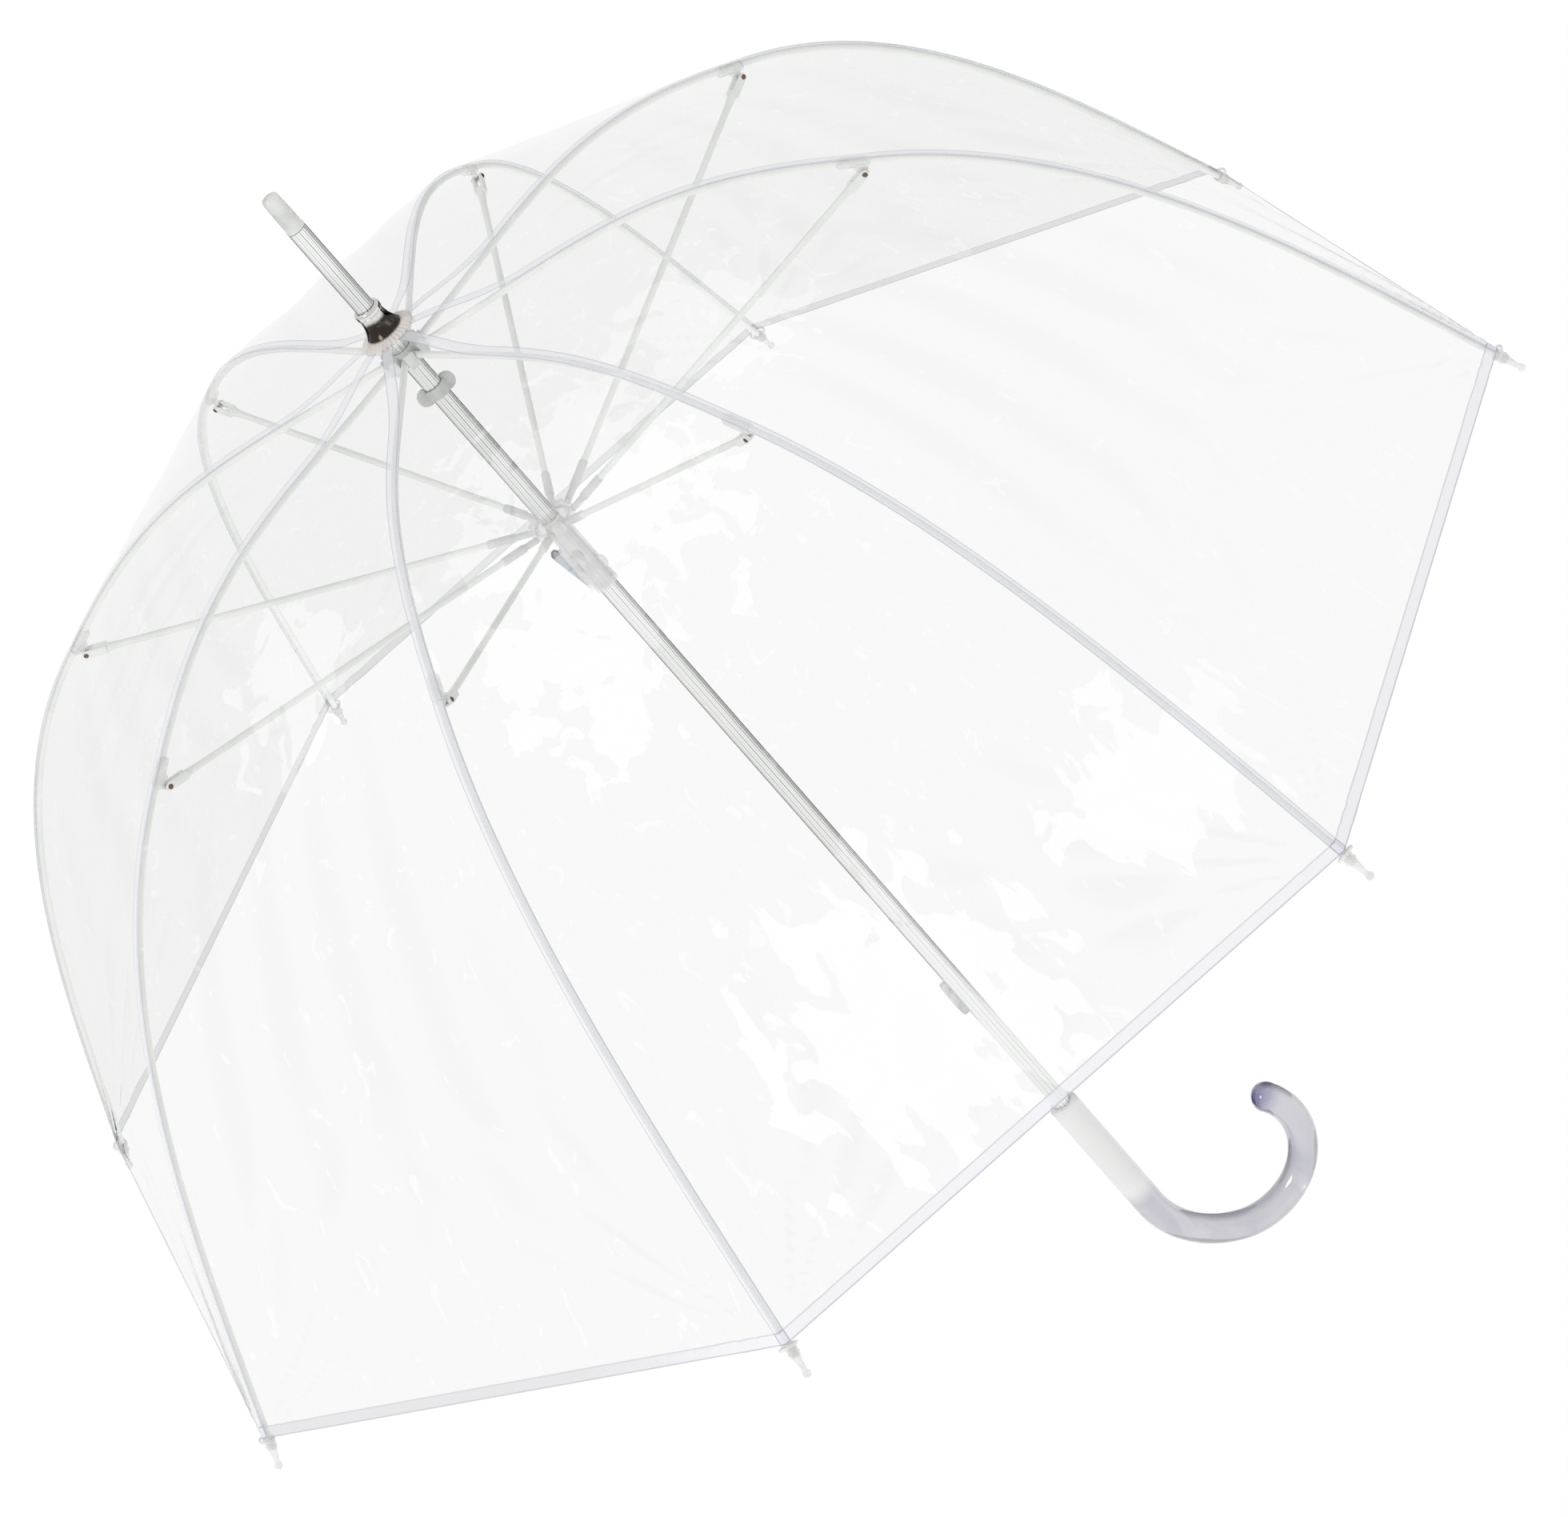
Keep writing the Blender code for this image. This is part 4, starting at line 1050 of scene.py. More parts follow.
@dataclass(frozen=True)
class Runner:
    """The sliding runner: its own moulding, dressed, with the catch hook added."""

    wire_z: float = 0.4965
    hood_top: float = 0.015

    def hook(self) -> Shape:
        """The flat catch hook that stands out of the hood's top."""
        top = self.wire_z - self.hood_top
        line = np.array(
            [
                (-0.0112, 0, top - 0.0024),
                (-0.0113, 0, top + 0.0006),
                (-0.0104, 0, top + 0.0021),
                (-0.0088, 0, top + 0.0022),
                (-0.0078, 0, top + 0.0008),
            ]
        )
        return Shape().tube(tube_grid(resampled(line, 30), ACROSS, 0.0014, 14, 0.32))

    def build(self, nodes: dict) -> None:
        """Dresses the runner and adds its hook."""
        dress(nodes["runner"], HoodedPlastic("runner_plastic").material())
        steel = DrawnMetal("catch_steel", (0.42, 0.40, 0.38), (0.16, 0.14, 0.13), 0.25, 0.8)
        put("runner_hook", self.hook(), steel.material(), "runner", 60.0)


@dataclass(frozen=True)
class Button:
    """The release button: a rounded bar that stands out of the shaft's side."""

    middle_z: float = 0.137
    half_length: float = 0.012
    half_width: float = 0.0019
    inner: float = 0.0041
    outer: float = 0.0086

    def build(self) -> None:
        """Makes the button."""
        centre = np.array([-(self.inner + self.outer) / 2, 0.0, self.middle_z])
        axes = np.diag([(self.outer - self.inner) / 2, self.half_width, self.half_length])
        look = MouldedPlastic("button_plastic", (0.80, 0.81, 0.80), (0.52, 0.54, 0.53), 0.15, 0.72)
        bar = Shape().tube(bar_grid(centre, axes, 0.45, 40, 40))
        obj = put("push_button", bar, look.material(), "button", 50.0)
        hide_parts("release_button")


# Ribs


@dataclass(frozen=True)
class RibSet:
    """The eight ribs with their brackets, rivets, stretchers, clips and tip caps."""

    line: RibLine = RibLine()
    rib_radius: float = 0.0017
    pin: tuple = (0.23209024, 0.56775066)
    stretcher_end: tuple = (0.0125, 0.4965)
    stretcher_radius: float = 0.0016
    fork_length: float = 0.020
    fork_half_width: float = 0.0031
    fork_half_depth: float = 0.0021
    slot_half: float = 0.0013
    slot_length: float = 0.0088
    tip_length: float = 0.018
    tail: float = 0.0017  # rib behind the notch's wire
    into_bracket: float = 0.0144  # upper rib past its bend
    before_flex: float = 0.0026  # lower rib inside the bracket

    def upper(self) -> Shape:
        """The upper rib, from behind the notch's wire into the bracket."""
        places, ways = self.line.upper(48)
        start = places[0] - self.tail * ways[0]
        end = places[-1] + self.into_bracket * ways[-1]
        line = in_plane(np.concatenate([[start], places, [end]]))
        return Shape().tube(tube_grid(line, ACROSS, self.rib_radius, 20))

    def lower(self) -> Shape:
        """The lower rib, from inside the bracket to its end in the tip cap."""
        places, ways = self.line.lower(72)
        start = places[0] - self.before_flex * ways[0]
        end = places[-1] + self.line.beyond_hem * ways[-1]
        line = in_plane(np.concatenate([[start], places, [end]]))
        return Shape().tube(tube_grid(line, ACROSS, self.rib_radius, 20))

    def bracket(self) -> Shape:
        """The saddle on the rib, and a gusset below it that narrows to the pin."""
        way = down_slope(self.line.elbow_slope)
        out = outward_of(way)
        elbow = np.array(self.line.elbow)
        share = np.linspace(0, 1, 26)
        run = -self.line.saddle_back + (self.line.saddle_back + 0.003) * share
        places = in_plane(elbow + run[:, None] * way - 0.0006 * out)
        swell = 0.0029 * ease(share, -0.12, 0.12) * ease(1 - share, -0.12, 0.12)
        saddle = tube_grid(places, ACROSS, swell, 28, 0.95)
        pin = np.array(self.pin)
        root = elbow - 0.0028 * out - 0.003 * way
        neck = np.stack([root + 0.0006 * out, root * 0.5 + pin * 0.5, pin - 0.0004 * out, pin - 0.0021 * out])
        wide = np.array([0.0044, 0.0034, 0.0024, 0.0009])
        line = in_plane(resampled(neck, 14))
        spread = np.interp(np.linspace(0, 1, 14), [0, 0.4, 0.75, 1.0], wide)
        blade = tube_grid(line, ACROSS, 0.0010, 20)
        middle = line[:, None, :]
        ways = np.array([way[0], 0.0, way[1]])
        reach = (blade - middle) @ ways
        blade = blade + reach[..., None] * (spread / 0.0010 - 1)[:, None, None] * ways
        return Shape().tube(saddle).tube(blade)

    def rivet(self) -> Shape:
        """The rivet through fork and lug, with a low domed head on each side."""
        half = self.fork_half_width
        profile = np.array(
            [
                (0.0003, -half - 0.0006),
                (0.0009, -half - 0.0005),
                (0.0013, -half - 0.0001),
                (0.0009, -half + 0.0001),
                (0.0009, half - 0.0001),
                (0.0013, half + 0.0001),
                (0.0009, half + 0.0005),
                (0.0003, half + 0.0006),
            ]
        )
        grid = lathe_grid(profile, 20)
        away, height = grid[..., 0] + self.pin[0], grid[..., 1] + self.pin[1]
        turned_grid = np.stack([away, grid[..., 2], height], axis=-1)
        return Shape().tube(turned_grid)

    def stretcher(self) -> Shape:
        """Two prongs beside the lug that run together into a fork, then a round rod."""
        pin, end = np.array(self.pin), np.array(self.stretcher_end)
        length = np.linalg.norm(end - pin)
        way = (end - pin) / length
        shape = Shape()
        fork_run = np.linspace(self.slot_length - 0.001, self.fork_length, 14)
        run = np.concatenate([fork_run, np.linspace(0.03, length, 12)])
        taper = ease(run, 0.004, self.fork_length)
        half_width = self.fork_half_width + (self.stretcher_radius - self.fork_half_width) * taper
        half_depth = self.fork_half_depth + (self.stretcher_radius - self.fork_half_depth) * taper
        places = in_plane(pin + run[:, None] * way)
        shape.tube(_oval(places, half_width, half_depth, 20))
        tips = np.linspace(-0.0017, self.slot_length + 0.002, 12)
        deep = self.fork_half_depth * ease(tips, -0.0040, 0.0004)
        for side in (-1, 1):
            middle = side * (self.slot_half + self.fork_half_width) / 2
            places = in_plane(pin + tips[:, None] * way) + np.array([0, middle, 0])
            thick = np.full(len(tips), (self.fork_half_width - self.slot_half) / 2)
            shape.tube(_oval(places, thick, deep, 20, 0.6))
        return shape

    def clip(self) -> Shape:
        """The sleeve on the stretcher near the runner, thicker over part of its length."""
        pin, end = np.array(self.pin), np.array(self.stretcher_end)
        way = (pin - end) / np.linalg.norm(pin - end)
        run = np.array([-0.0006, 0.0, 0.0060, 0.0080, 0.0085, 0.0215, 0.0222, 0.0224])
        half = np.array([0.0012, 0.00165, 0.00165, 0.0017, 0.00215, 0.0021, 0.0019, 0.0016])
        places = in_plane(end + run[:, None] * way)
        return Shape().tube(_oval(places, half, half, 20))

    def tip(self) -> Shape:
        """The tip cap: socket with two rings, a waist, a long taper and a ball."""
        profile = np.array(
            [
                (0.0003, 0.0072),
                (0.0019, 0.0072),
                (0.0020, 0.0007),
                (0.0027, 0.0006),
                (0.0030, 0.0011),
                (0.0030, 0.0019),
                (0.0027, 0.0024),
                (0.0027, 0.0046),
                (0.0029, 0.0050),
                (0.0029, 0.0056),
                (0.0026, 0.0060),
                (0.0018, 0.0086),
                (0.0014, 0.0120),
                (0.0012, 0.0143),
            ]
        )
        ball = self.tip_length - 0.0020
        a = np.linspace(math.asin(0.6), math.pi * 0.97, 12)
        dome = np.stack([0.0020 * np.sin(a), ball - 0.0020 * np.cos(a)], axis=1)
        grid = lathe_grid(np.concatenate([profile, dome]), 32)
        way = down_slope(self.line.hem_slope)
        out = outward_of(way)
        hem = np.array(self.line.hem)
        x = hem[0] + way[0] * grid[..., 2] + out[0] * grid[..., 0]
        z = hem[1] + way[1] * grid[..., 2] + out[1] * grid[..., 0]
        return Shape().tube(np.stack([x, grid[..., 1], z], axis=-1))

    def loop(self) -> Shape:
        """The small moulded loop that ties the hem's corner to the cap."""
        way, out = down_slope(self.line.hem_slope), outward_of(down_slope(self.line.hem_slope))
        hem = np.array(self.line.hem)
        a = np.linspace(0, 2 * math.pi, 37)[:-1]
        ring = np.stack([0.0044 * np.cos(a), 0.0030 * np.sin(a)], axis=1)
        middle = hem + 0.0012 * way + 0.0012 * out
        away, height = middle[0] + ring[:, 1] * out[0], middle[1] + ring[:, 1] * out[1]
        places = np.stack([away, ring[:, 0], height], axis=1)
        b = np.arange(12) * (2 * math.pi / 12)
        outwards = places - places.mean(axis=0)
        outwards /= np.linalg.norm(outwards, axis=1, keepdims=True)
        way3 = np.array([way[0], 0.0, way[1]])
        wire = 0.0007 * (np.cos(b)[None, :, None] * outwards[:, None, :] + np.sin(b)[None, :, None] * way3)
        return Shape().ring(places[:, None, :] + wire)

    def build(self) -> None:
        """Makes each rib's pieces from shapes that all eight share."""
        rod = Glassfibre("rib_glassfibre").material()
        strut = Glassfibre("stretcher_glassfibre", (0.93, 0.95, 0.92), (0.80, 0.83, 0.80)).material()
        pale, dull = (0.95, 0.95, 0.94), (0.84, 0.85, 0.84)
        milky = MouldedPlastic("bracket_plastic", pale, dull, 0.25, 0.40).material()
        cap = MouldedPlastic("tip_plastic", (0.95, 0.95, 0.94), (0.80, 0.81, 0.80), 0.15, 0.48).material()
        grey = MouldedPlastic("clip_plastic", (0.86, 0.87, 0.86), (0.74, 0.76, 0.75), 0.3, 0.75).material()
        brown = DrawnMetal("rivet_brown", (0.20, 0.13, 0.09), (0.08, 0.05, 0.04), 0.35, 0.9, 120.0).material()
        plan = (
            ("rib_upper", self.upper(), rod, "rib", "upper_rib", "upper_rib"),
            ("rib_lower", self.lower(), rod, "rib_end", "lower_rib", "lower_rib"),
            ("rib_bracket", self.bracket(), milky, "rib", "joint_bracket", "bracket"),
            ("rib_rivet", self.rivet(), brown, "rib", None, "bracket"),
            ("strut_rod", self.stretcher(), strut, "strut", "stretcher", "stretcher"),
            ("strut_clip", self.clip(), grey, "strut", None, "stretcher"),
            ("rib_tip", self.tip(), cap, "rib_end", "tip_cap", "tip"),
            ("rib_loop", self.loop(), cap, "rib_end", None, "tip"),
        )
        for number in range(1, RIB_COUNT + 1):
            for name, shape, material, body, node, slot in plan:
                spun = shape.moved(rib_azimuth(number))
                obj = put(f"{name}_{number}", spun, material, f"{body}_{number}", 45.0)
                if node:
                    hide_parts(f"{node}_{number}")


def _oval(
    places: np.ndarray, half_width: np.ndarray, half_depth: np.ndarray, sides: int, power: float = 0.85
) -> Grid:
    """Squarish oval sections along a straight line in the plane of azimuth 0."""
    way = places[-1] - places[0]
    way = way / np.linalg.norm(way)
    up = np.cross(ACROSS, way)
    a = np.arange(sides) * (2 * math.pi / sides)
    c = np.sign(np.cos(a)) * np.abs(np.cos(a)) ** power
    s = np.sign(np.sin(a)) * np.abs(np.sin(a)) ** power
    across = half_width[:, None, None] * c[None, :, None] * ACROSS
    return places[:, None, :] + across + half_depth[:, None, None] * s[None, :, None] * up


# Canopy


@dataclass(frozen=True)
class Canopy:
    """Eight gores of one continuous film, split where it has to fold.

    A place on a gore is r cos(22.5) e + u r sin(22.5) t at the seam line's height, where u
    runs from -1 on one rib to 1 on the next. The film then moves along its own normal by
    the creases and the thickness of seam and hem.
    """

    line: RibLine = RibLine()
    row_step: float = 0.0030
    columns: int = 72
    seam_half: float = 0.0026
    crown_seam_half: float = 0.0032
    seam_lift: float = 0.00010
    hem_width: float = 0.0062
    hem_lift: float = 0.00010
    corner_crease: float = 0.0011
    roll: float = 0.0009
    keep: float = 0.08
    draw_in: float = math.radians(19.0)
    # painted highlight patches on the film, as centre and reach
    glares: tuple = (
        Glare((0.012, -0.195, 0.585), 0.068),
        Glare((-0.032, -0.240, 0.555), 0.050),
        Glare((-0.030, -0.362, 0.375), 0.072),
        Glare((0.122, -0.356, 0.384), 0.046),
        Glare((-0.135, -0.140, 0.588), 0.040),
        Glare((0.111, -0.150, 0.592), 0.044),
    )

    def columns_at(self) -> np.ndarray:
        """Places across a gore, finer next to the seams: u = sin-like spacing from -1 to 1."""
        even = np.linspace(-1, 1, self.columns + 1)
        spread = 0.48 * math.pi
        return np.sin(even * spread) / math.sin(spread)

    def gore(self, number: int) -> tuple[Grid, np.ndarray, np.ndarray]:
        """One whole gore between rib number and the next.

        Returns:
            Its places, its film_place values and its crease values.
        """
        seam = self.line.film(self.row_step)
        walked = along(seam)
        u = self.columns_at()
        middle = rib_azimuth(number) + RIB_PHASE
        r, z = seam[:, 0:1], seam[:, 1:2]
        out = r * math.cos(RIB_PHASE) * np.ones_like(u)[None, :]
        side = r * math.sin(RIB_PHASE) * u[None, :]
        flat = np.stack([out, side, z * np.ones_like(u)[None, :]], axis=-1)
        wide = self.seam_half + (self.crown_seam_half - self.seam_half) * ease(-r, -0.20, -0.06)
        across = r * math.sin(RIB_PHASE) * (1 - np.abs(u))[None, :] * self.seam_half / wide
        from_hem = (walked[-1] - walked)[:, None] * np.ones_like(u)[None, :]
        crease = self._creases(number, u[None, :], across, from_hem, walked[:, None])
        normal = np.cross(np.gradient(flat, axis=1), np.gradient(flat, axis=0))
        normal /= np.linalg.norm(normal, axis=2, keepdims=True) + 1e-12
        normal *= np.sign(normal[..., 2:3] + 1e-9)
        band = self.seam_lift * (1 - ease(across, self.seam_half - 0.0003, self.seam_half + 0.0005))
        fold = self.hem_lift * (1 - ease(from_hem, self.hem_width - 0.0004, self.hem_width + 0.0006))
        rise = np.gradient(seam, axis=0)
        rise = outward_of(rise / np.linalg.norm(rise, axis=1, keepdims=True))
        sides = np.where(u < 0, -RIB_PHASE, RIB_PHASE)[None, :]
        rib_out = np.stack(
            [rise[:, 0:1] * np.cos(sides), rise[:, 0:1] * np.sin(sides), rise[:, 1:2] * np.ones_like(sides)],
            axis=-1,
        )
        near = (1 - ease(across, 0.0, 0.004))[..., None]
        normal = normal * (1 - near) + rib_out * near
        normal /= np.linalg.norm(normal, axis=2, keepdims=True)
        places = flat + normal * (crease + np.maximum(band, fold))[..., None]
        values = np.stack([across, walked[:, None] * np.ones_like(across), from_hem], axis=-1)
        return turned(places, middle), values, np.clip(np.abs(crease) / 0.0012, 0, 1)

    def _creases(
        self, number: int, u: np.ndarray, across: np.ndarray, from_hem: np.ndarray, walked: np.ndarray
    ) -> np.ndarray:
        """Height of the film's creases.

        Corner creases are a sine of the angle about the hem's corner that dies away with
        distance. Rolls are long waves down the gore. Puckers are short waves along the seam.
        All of them are 0 on the seam and the hem.
        """
        phase = 1.7 * number
        angle = np.arctan2(across, from_hem + 0.004)
        far = np.hypot(across, from_hem)
        corner = np.sin(26 * angle + phase + 2.0 * np.sign(u)) + 0.5 * np.sin(47 * angle + 2 * phase)
        corner = corner * np.exp(-far / 0.075) * ease(far, 0.004, 0.030)
        corner = corner * np.sin(2 * np.clip(angle, 0, math.pi / 2))
        roll = np.sin(9 * u + phase + 5 * walked) * np.sin(7 * walked + phase) * ease(across, 0.0, 0.05)
        pucker = np.sin(150 * walked + 9 * np.sin(11 * walked + phase)) * np.exp(-across / 0.010)
        pucker = pucker * ease(across, 0.0015, 0.006)
        hold = ease(from_hem, 0.0, 0.03) * ease(walked, 0.01, 0.06)
        return self.corner_crease * corner + hold * (self.roll * roll + 0.00035 * pucker)

    def rows(self) -> dict[Zone, slice]:
        """The rows of each zone. Neighbouring zones share a row."""
        seam = self.line.film(self.row_step)
        dip = int(np.searchsorted(seam[:, 0], self.line.crown_split))
        flex = int(np.searchsorted(seam[:, 0], self.line.flex()[0]))
        return {
            Zone.CROWN: slice(0, dip + 1),
            Zone.UPPER: slice(dip, flex + 1),
            Zone.LOWER: slice(flex, len(seam)),
        }

    def _piece(
        self,
        name: str,
        grid: Grid,
        values: np.ndarray,
        crease: np.ndarray,
        material: bpy.types.Material,
        body: str | None,
    ) -> bpy.types.Object:
        """One sheet of film with its two attributes."""
        shape = Shape().sheet(grid)
        mesh = shape.mesh(name, 60.0)
        mesh.materials.append(material)
        place = mesh.attributes.new("film_place", "FLOAT_VECTOR", "POINT")
        place.data.foreach_set("vector", values.reshape(-1).astype(np.float32))
        height = mesh.attributes.new("film_crease", "FLOAT", "POINT")
        height.data.foreach_set("value", crease.reshape(-1).astype(np.float32))
        obj = placed(name, mesh)
        if body:
            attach(obj, body)
        log.info("%s: %d faces", name, len(mesh.polygons))
        return obj

    def _gather(self, obj: bpy.types.Object, number: int, side: Side, seam: np.ndarray) -> None:
        """Works out the way a half gore would be drawn in to its rib, and gives the piece its own mesh; it
        moves nothing.

        The direction is the half gore's own, less its part along the rib's chord.
        """
        azimuth = rib_azimuth(number)
        out = np.array([math.cos(azimuth), math.sin(azimuth), 0.0])
        turn = np.array([-math.sin(azimuth), math.cos(azimuth), 0.0]) * side.value
        way = math.cos(self.draw_in) * turn - math.sin(self.draw_in) * out
        start, end = seam[0], seam[-1]
        chord = (end[0] - start[0]) * out + np.array([0, 0, end[1] - start[1]])
        chord /= np.linalg.norm(chord)
        way = way - (way @ chord) * chord
        way /= np.linalg.norm(way)
        places = seam[:, 0:1] * out + np.array([[0, 0, 1.0]]) * seam[:, 1:2]
        anchor = places[np.argsort(places @ way)[len(places) // 2]]
        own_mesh(obj)

    def build(self) -> None:
        """Makes the film's pieces; the upper and lower ones ride on the ribs."""
        film = ClearFilm(seam_half=self.seam_half, hem_width=self.hem_width, glares=self.glares).material()
        seam = self.line.film(self.row_step)
        rows = self.rows()
        gores = {n: self.gore(n) for n in range(1, RIB_COUNT + 1)}
        half = self.columns // 2
        bodies = {Zone.UPPER: "rib", Zone.LOWER: "rib_end"}
        for number in range(1, RIB_COUNT + 1):
            before = gores[(number - 2) % RIB_COUNT + 1]
            after = gores[number]
            top = rows[Zone.CROWN]
            grid, values, crease = (
                np.concatenate([b[top, half:], a[top, 1 : half + 1]], axis=1) for a, b in zip(after, before)
            )
            crown = self._piece(f"film_crown_{number}", grid, values, crease, film, None)
            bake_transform(crown)
            for side, source, columns in (
                (Side.COUNTER, after, slice(0, half + 1)),
                (Side.CLOCKWISE, before, slice(half, self.columns + 1)),
            ):
                for zone, body in bodies.items():
                    grid, values, crease = (part[rows[zone], columns] for part in source)
                    name = f"film_{zone.value}_{number}_{side.name.lower()}"
                    piece = self._piece(name, grid, values, crease, film, f"{body}_{number}")
                    self._gather(piece, number, side, seam[rows[zone]])
                    if side is Side.COUNTER and zone is Zone.LOWER:
                        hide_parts(f"canopy_gore_{number}")


# Handle


@dataclass(frozen=True)
class Handle:
    """The clear crook: a straight grip, a wide bend, a tight one and a round end."""

    radius: float = 0.0083
    grip_top: float = 0.043
    grip_bottom: float = 0.0437
    lead_radius: float = 0.060
    lead_angle: float = 60.0
    crook_radius: float = 0.0395
    crook_angle: float = 161.0
    bore_radius: float = 0.00495
    bore_floor: float = -0.0258

    def centre_line(self) -> tuple[np.ndarray, np.ndarray]:
        """The crook's line and its radii.

        Returns:
            Points of a straight run and two arcs, and the radius at each, which falls to 0
            over the last radius of length as a quarter circle.
        """
        lead, sweep = math.radians(self.lead_angle), math.radians(self.crook_angle)
        straight = np.array([[0, 0, self.grip_top], [0, 0, -self.grip_bottom]])
        middle = np.array([self.lead_radius, 0, -self.grip_bottom])
        a = np.linspace(0, lead, 30)
        wide = middle - self.lead_radius * np.stack([np.cos(a), 0 * a, np.sin(a)], axis=1)
        shift = self.lead_radius - self.crook_radius
        middle = middle - shift * np.array([math.cos(lead), 0, math.sin(lead)])
        a = np.linspace(lead, lead + sweep, 90)
        tight = middle - self.crook_radius * np.stack([np.cos(a), 0 * a, np.sin(a)], axis=1)
        line = np.concatenate([resampled(straight, 30)[:-1], wide[:-1], tight])
        total = along(line)[-1]
        stops = np.concatenate([[0, 0.0005, 0.0015, 0.003], np.linspace(0.006, total - self.radius, 120)])
        end = total - self.radius * (1 - np.sin(np.linspace(0.06, 1.52, 22)))
        stops = np.concatenate([stops, end])
        walked = along(line)
        places = np.stack([np.interp(stops, walked, column) for column in line.T], axis=1)
        into_end = np.clip(stops - total + self.radius, 0, None) / self.radius
        radii = self.radius * np.sqrt(np.clip(1 - into_end**2, 0, 1))
        radii *= 1 - 0.14 * (1 - ease(stops, -0.0004, 0.0018))
        return places, np.maximum(radii, 0.0004)

    def shape(self) -> Shape:
        """The crook as one closed skin: outside, round end, and the bore's wall inside."""
        places, radii = self.centre_line()
        outer = tube_grid(places, ACROSS, radii, 64)
        inner_z = np.array([self.bore_floor, self.bore_floor + 0.0004, self.grip_top - 0.0006, self.grip_top])
        inner_r = np.array([0.0004, self.bore_radius, self.bore_radius, self.bore_radius])
        line = np.stack([0 * inner_z, 0 * inner_z, inner_z], axis=1)
        inner = tube_grid(line[::-1], ACROSS, inner_r[::-1], 64)[::-1]
        return Shape().tube(np.concatenate([inner, outer]))

    def build(self) -> None:
        """Makes the handle."""
        places, _ = self.centre_line()
        look = ClearAcrylic("handle_acrylic", deep_at=tuple(float(x) for x in places[-1]))
        obj = put("crook_handle", self.shape(), look.material(), "shaft", 50.0)
        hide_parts("handle")


# Studio


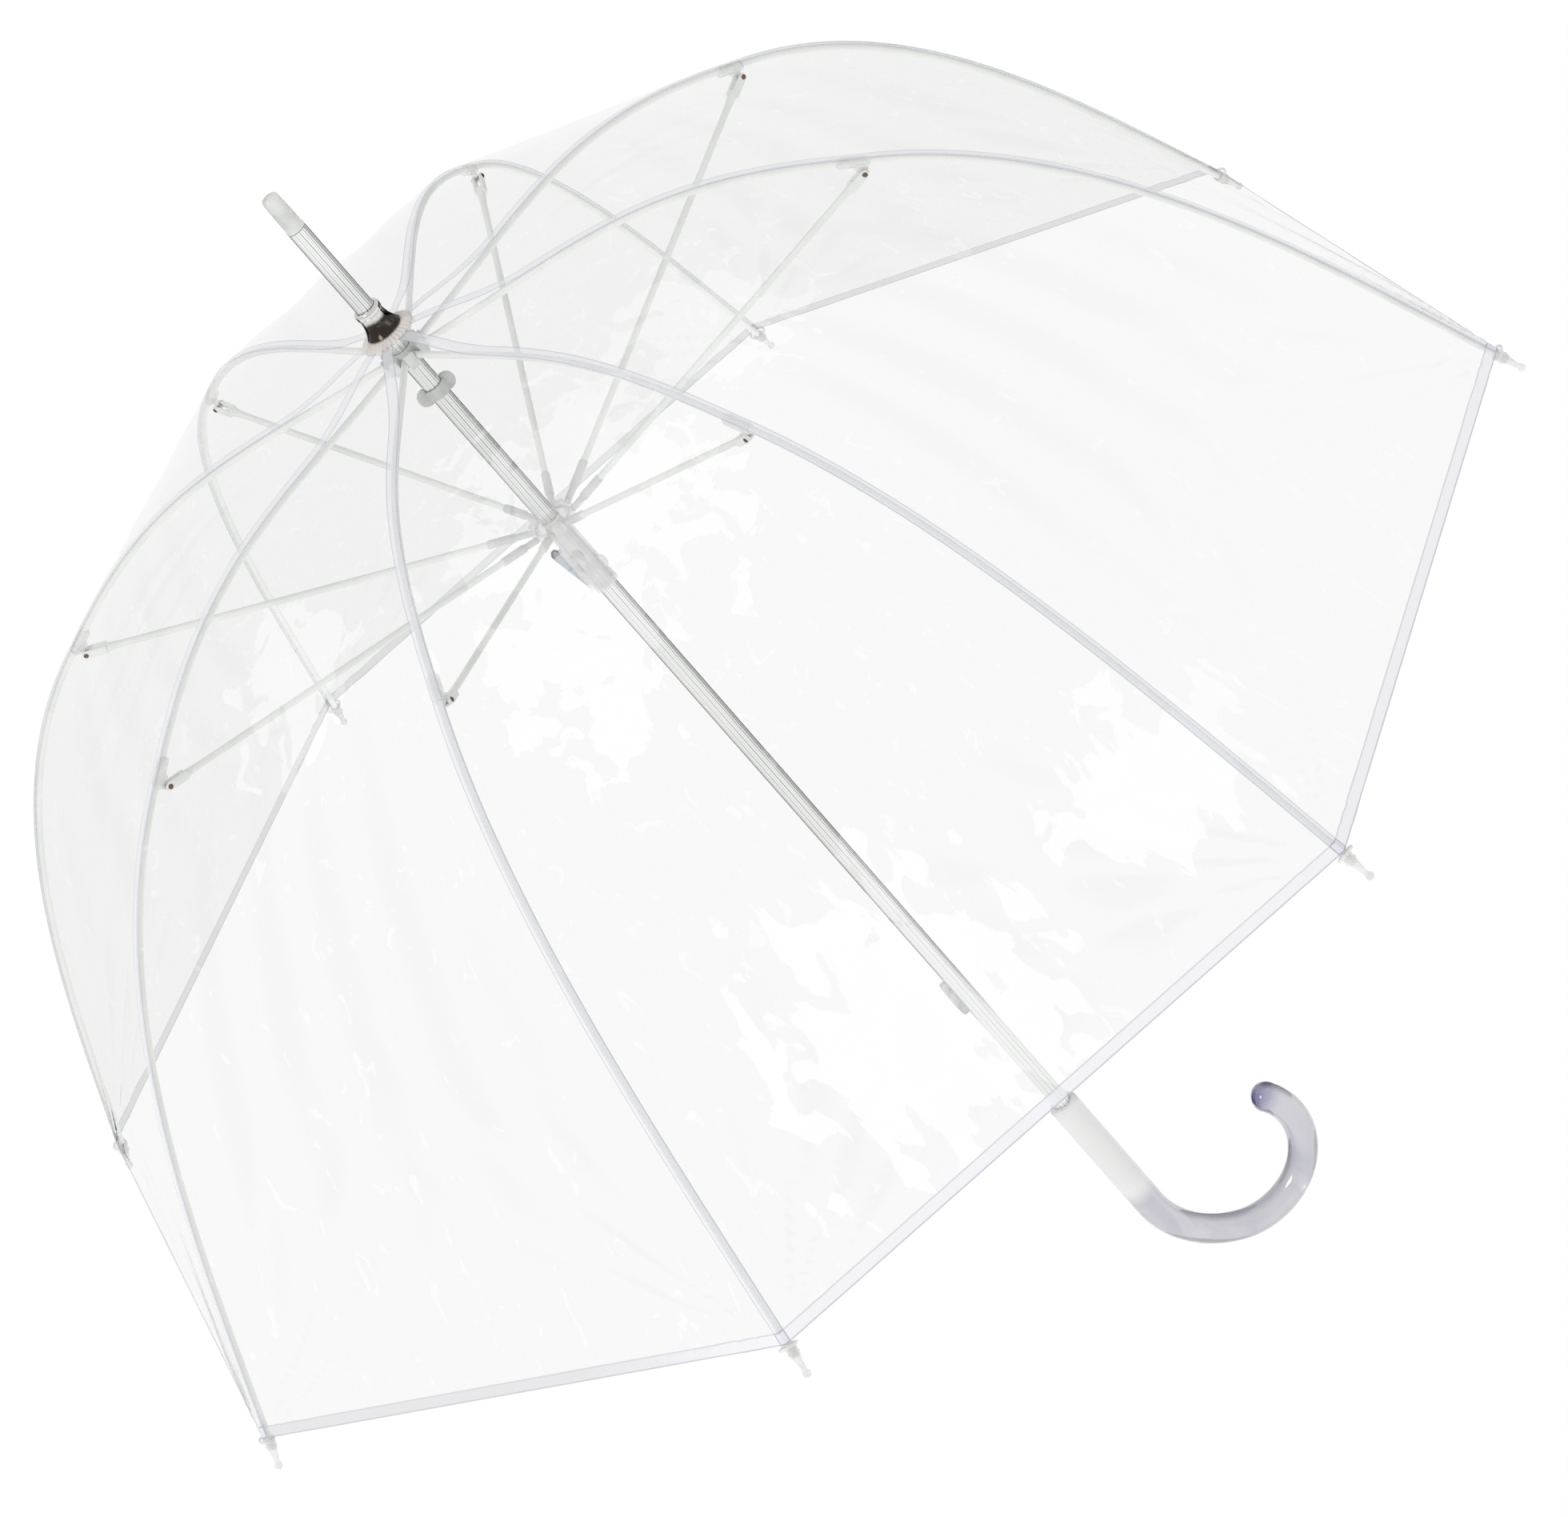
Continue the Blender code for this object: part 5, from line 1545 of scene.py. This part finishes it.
@dataclass(frozen=True)
class Studio:
    """Pale floor, soft light, two mirrored boards and the camera."""

    floor_z: float = -1.50
    floor_half: float = 80.0
    camera_at: tuple = (-0.0127, -2.1593, 1.5387)
    forward: tuple = (0.00868, 0.86944, -0.49396)
    roll: float = 41.142
    lens: float = 113.419
    sensor_width: float = 36.0
    clip_end: float = 200.0
    world_strength: float = 0.74
    board_away: float = 0.62
    board_heights: tuple = (-0.29, 0.60)

    def floor(self) -> None:
        """A plain floor that reads as pure white."""
        half, z = self.floor_half, self.floor_z
        mesh = bpy.data.meshes.new("floor")
        corners = [(-half, -half, z), (half, -half, z), (half, half, z), (-half, half, z)]
        mesh.from_pydata(corners, [], [(0, 1, 2, 3)])
        b = Bench("floor_white")
        shader = b.principled(
            Base_Color=colour((0.03, 0.03, 0.03)),
            Roughness=1.0,
            Specular_IOR_Level=0.0,
            Emission_Color=colour((1.0, 1.0, 1.0)),
            Emission_Strength=0.99,
        )
        mesh.materials.append(b.surface(shader))
        placed("floor", mesh)

    def lamp(self, name: str, at: tuple, aim: tuple, size: float, power: float) -> None:
        """A square soft lamp that faces a place."""
        data = bpy.data.lights.new(name, "AREA")
        data.shape = "SQUARE"
        data.size = size
        data.energy = power
        back = np.array(at, float) - np.array(aim, float)
        back /= np.linalg.norm(back)
        right = np.cross([0.0, 0.0, 1.0], back)
        right /= np.linalg.norm(right)
        aimed(placed(name, data), right, np.cross(back, right), back, at)

    def flag(self, name: str, azimuth: float, half_width: float, shade: float) -> None:
        """A standing board out of the camera's sight that metal and acrylic mirror.

        Args:
            name: the board's name.
            azimuth: its direction from the shaft, in degrees.
            half_width: half its width.
            shade: how light it is, from 0 to 1.
        """
        mesh = bpy.data.meshes.new(name)
        low, high = self.board_heights
        edges = ((low, -1), (low, 1), (high, 1), (high, -1))
        corners = np.array([(self.board_away, sign * half_width, z) for z, sign in edges])
        mesh.from_pydata(turned(corners, math.radians(azimuth)).tolist(), [], [(0, 1, 2, 3)])
        bench = Bench(f"{name}_board")
        paint = colour((shade, shade, shade))
        board = bench.principled(Base_Color=paint, Roughness=1.0, Specular_IOR_Level=0.0)
        mesh.materials.append(bench.surface(board))
        obj = placed(name, mesh)
        obj.visible_camera = False
        obj.visible_diffuse = False
        obj.visible_shadow = False

    def camera(self) -> None:
        """The camera: its up leans right by the roll about its forward direction."""
        forward = np.array(self.forward) / np.linalg.norm(self.forward)
        level = np.cross(forward, [0.0, 0.0, 1.0])
        level /= np.linalg.norm(level)
        upright = np.cross(level, forward)
        lean = math.radians(self.roll)
        up = math.cos(lean) * upright + math.sin(lean) * level
        right = np.cross(forward, up)
        data = bpy.data.cameras.new("camera")
        data.lens = self.lens
        data.sensor_width = self.sensor_width
        data.clip_end = self.clip_end
        obj = placed("camera", data)
        aimed(obj, right, up, -forward, self.camera_at)
        bpy.context.scene.camera = obj

    def build(self) -> None:
        """Sets up the room."""
        world = bpy.data.worlds.new("studio")
        world.use_nodes = True
        world.node_tree.nodes["Background"].inputs["Color"].default_value = (1.0, 1.0, 1.0, 1.0)
        world.node_tree.nodes["Background"].inputs["Strength"].default_value = self.world_strength
        scene = bpy.context.scene
        scene.world = world
        scene.view_settings.view_transform = "Standard"
        self.floor()
        self.lamp("key_lamp", at=(-2.2, -1.6, 2.6), aim=(0, 0, 0.4), size=1.1, power=24.0)
        self.flag("dark_flag", azimuth=30.0, half_width=0.42, shade=0.02)
        self.flag("grey_flag", azimuth=134.0, half_width=0.24, shade=0.10)
        self.camera()


def main() -> None:
    """Builds the umbrella's looks."""
    logging.basicConfig(level=logging.INFO, format="%(name)s: %(message)s")
    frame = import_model()
    nodes = frame["nodes"]
    Shaft().build()
    Crown().build(nodes)
    Runner().build(nodes)
    Button().build()
    RibSet().build()
    Canopy().build()
    Handle().build()
    Studio().build()


if __name__ == "__main__":
    main()
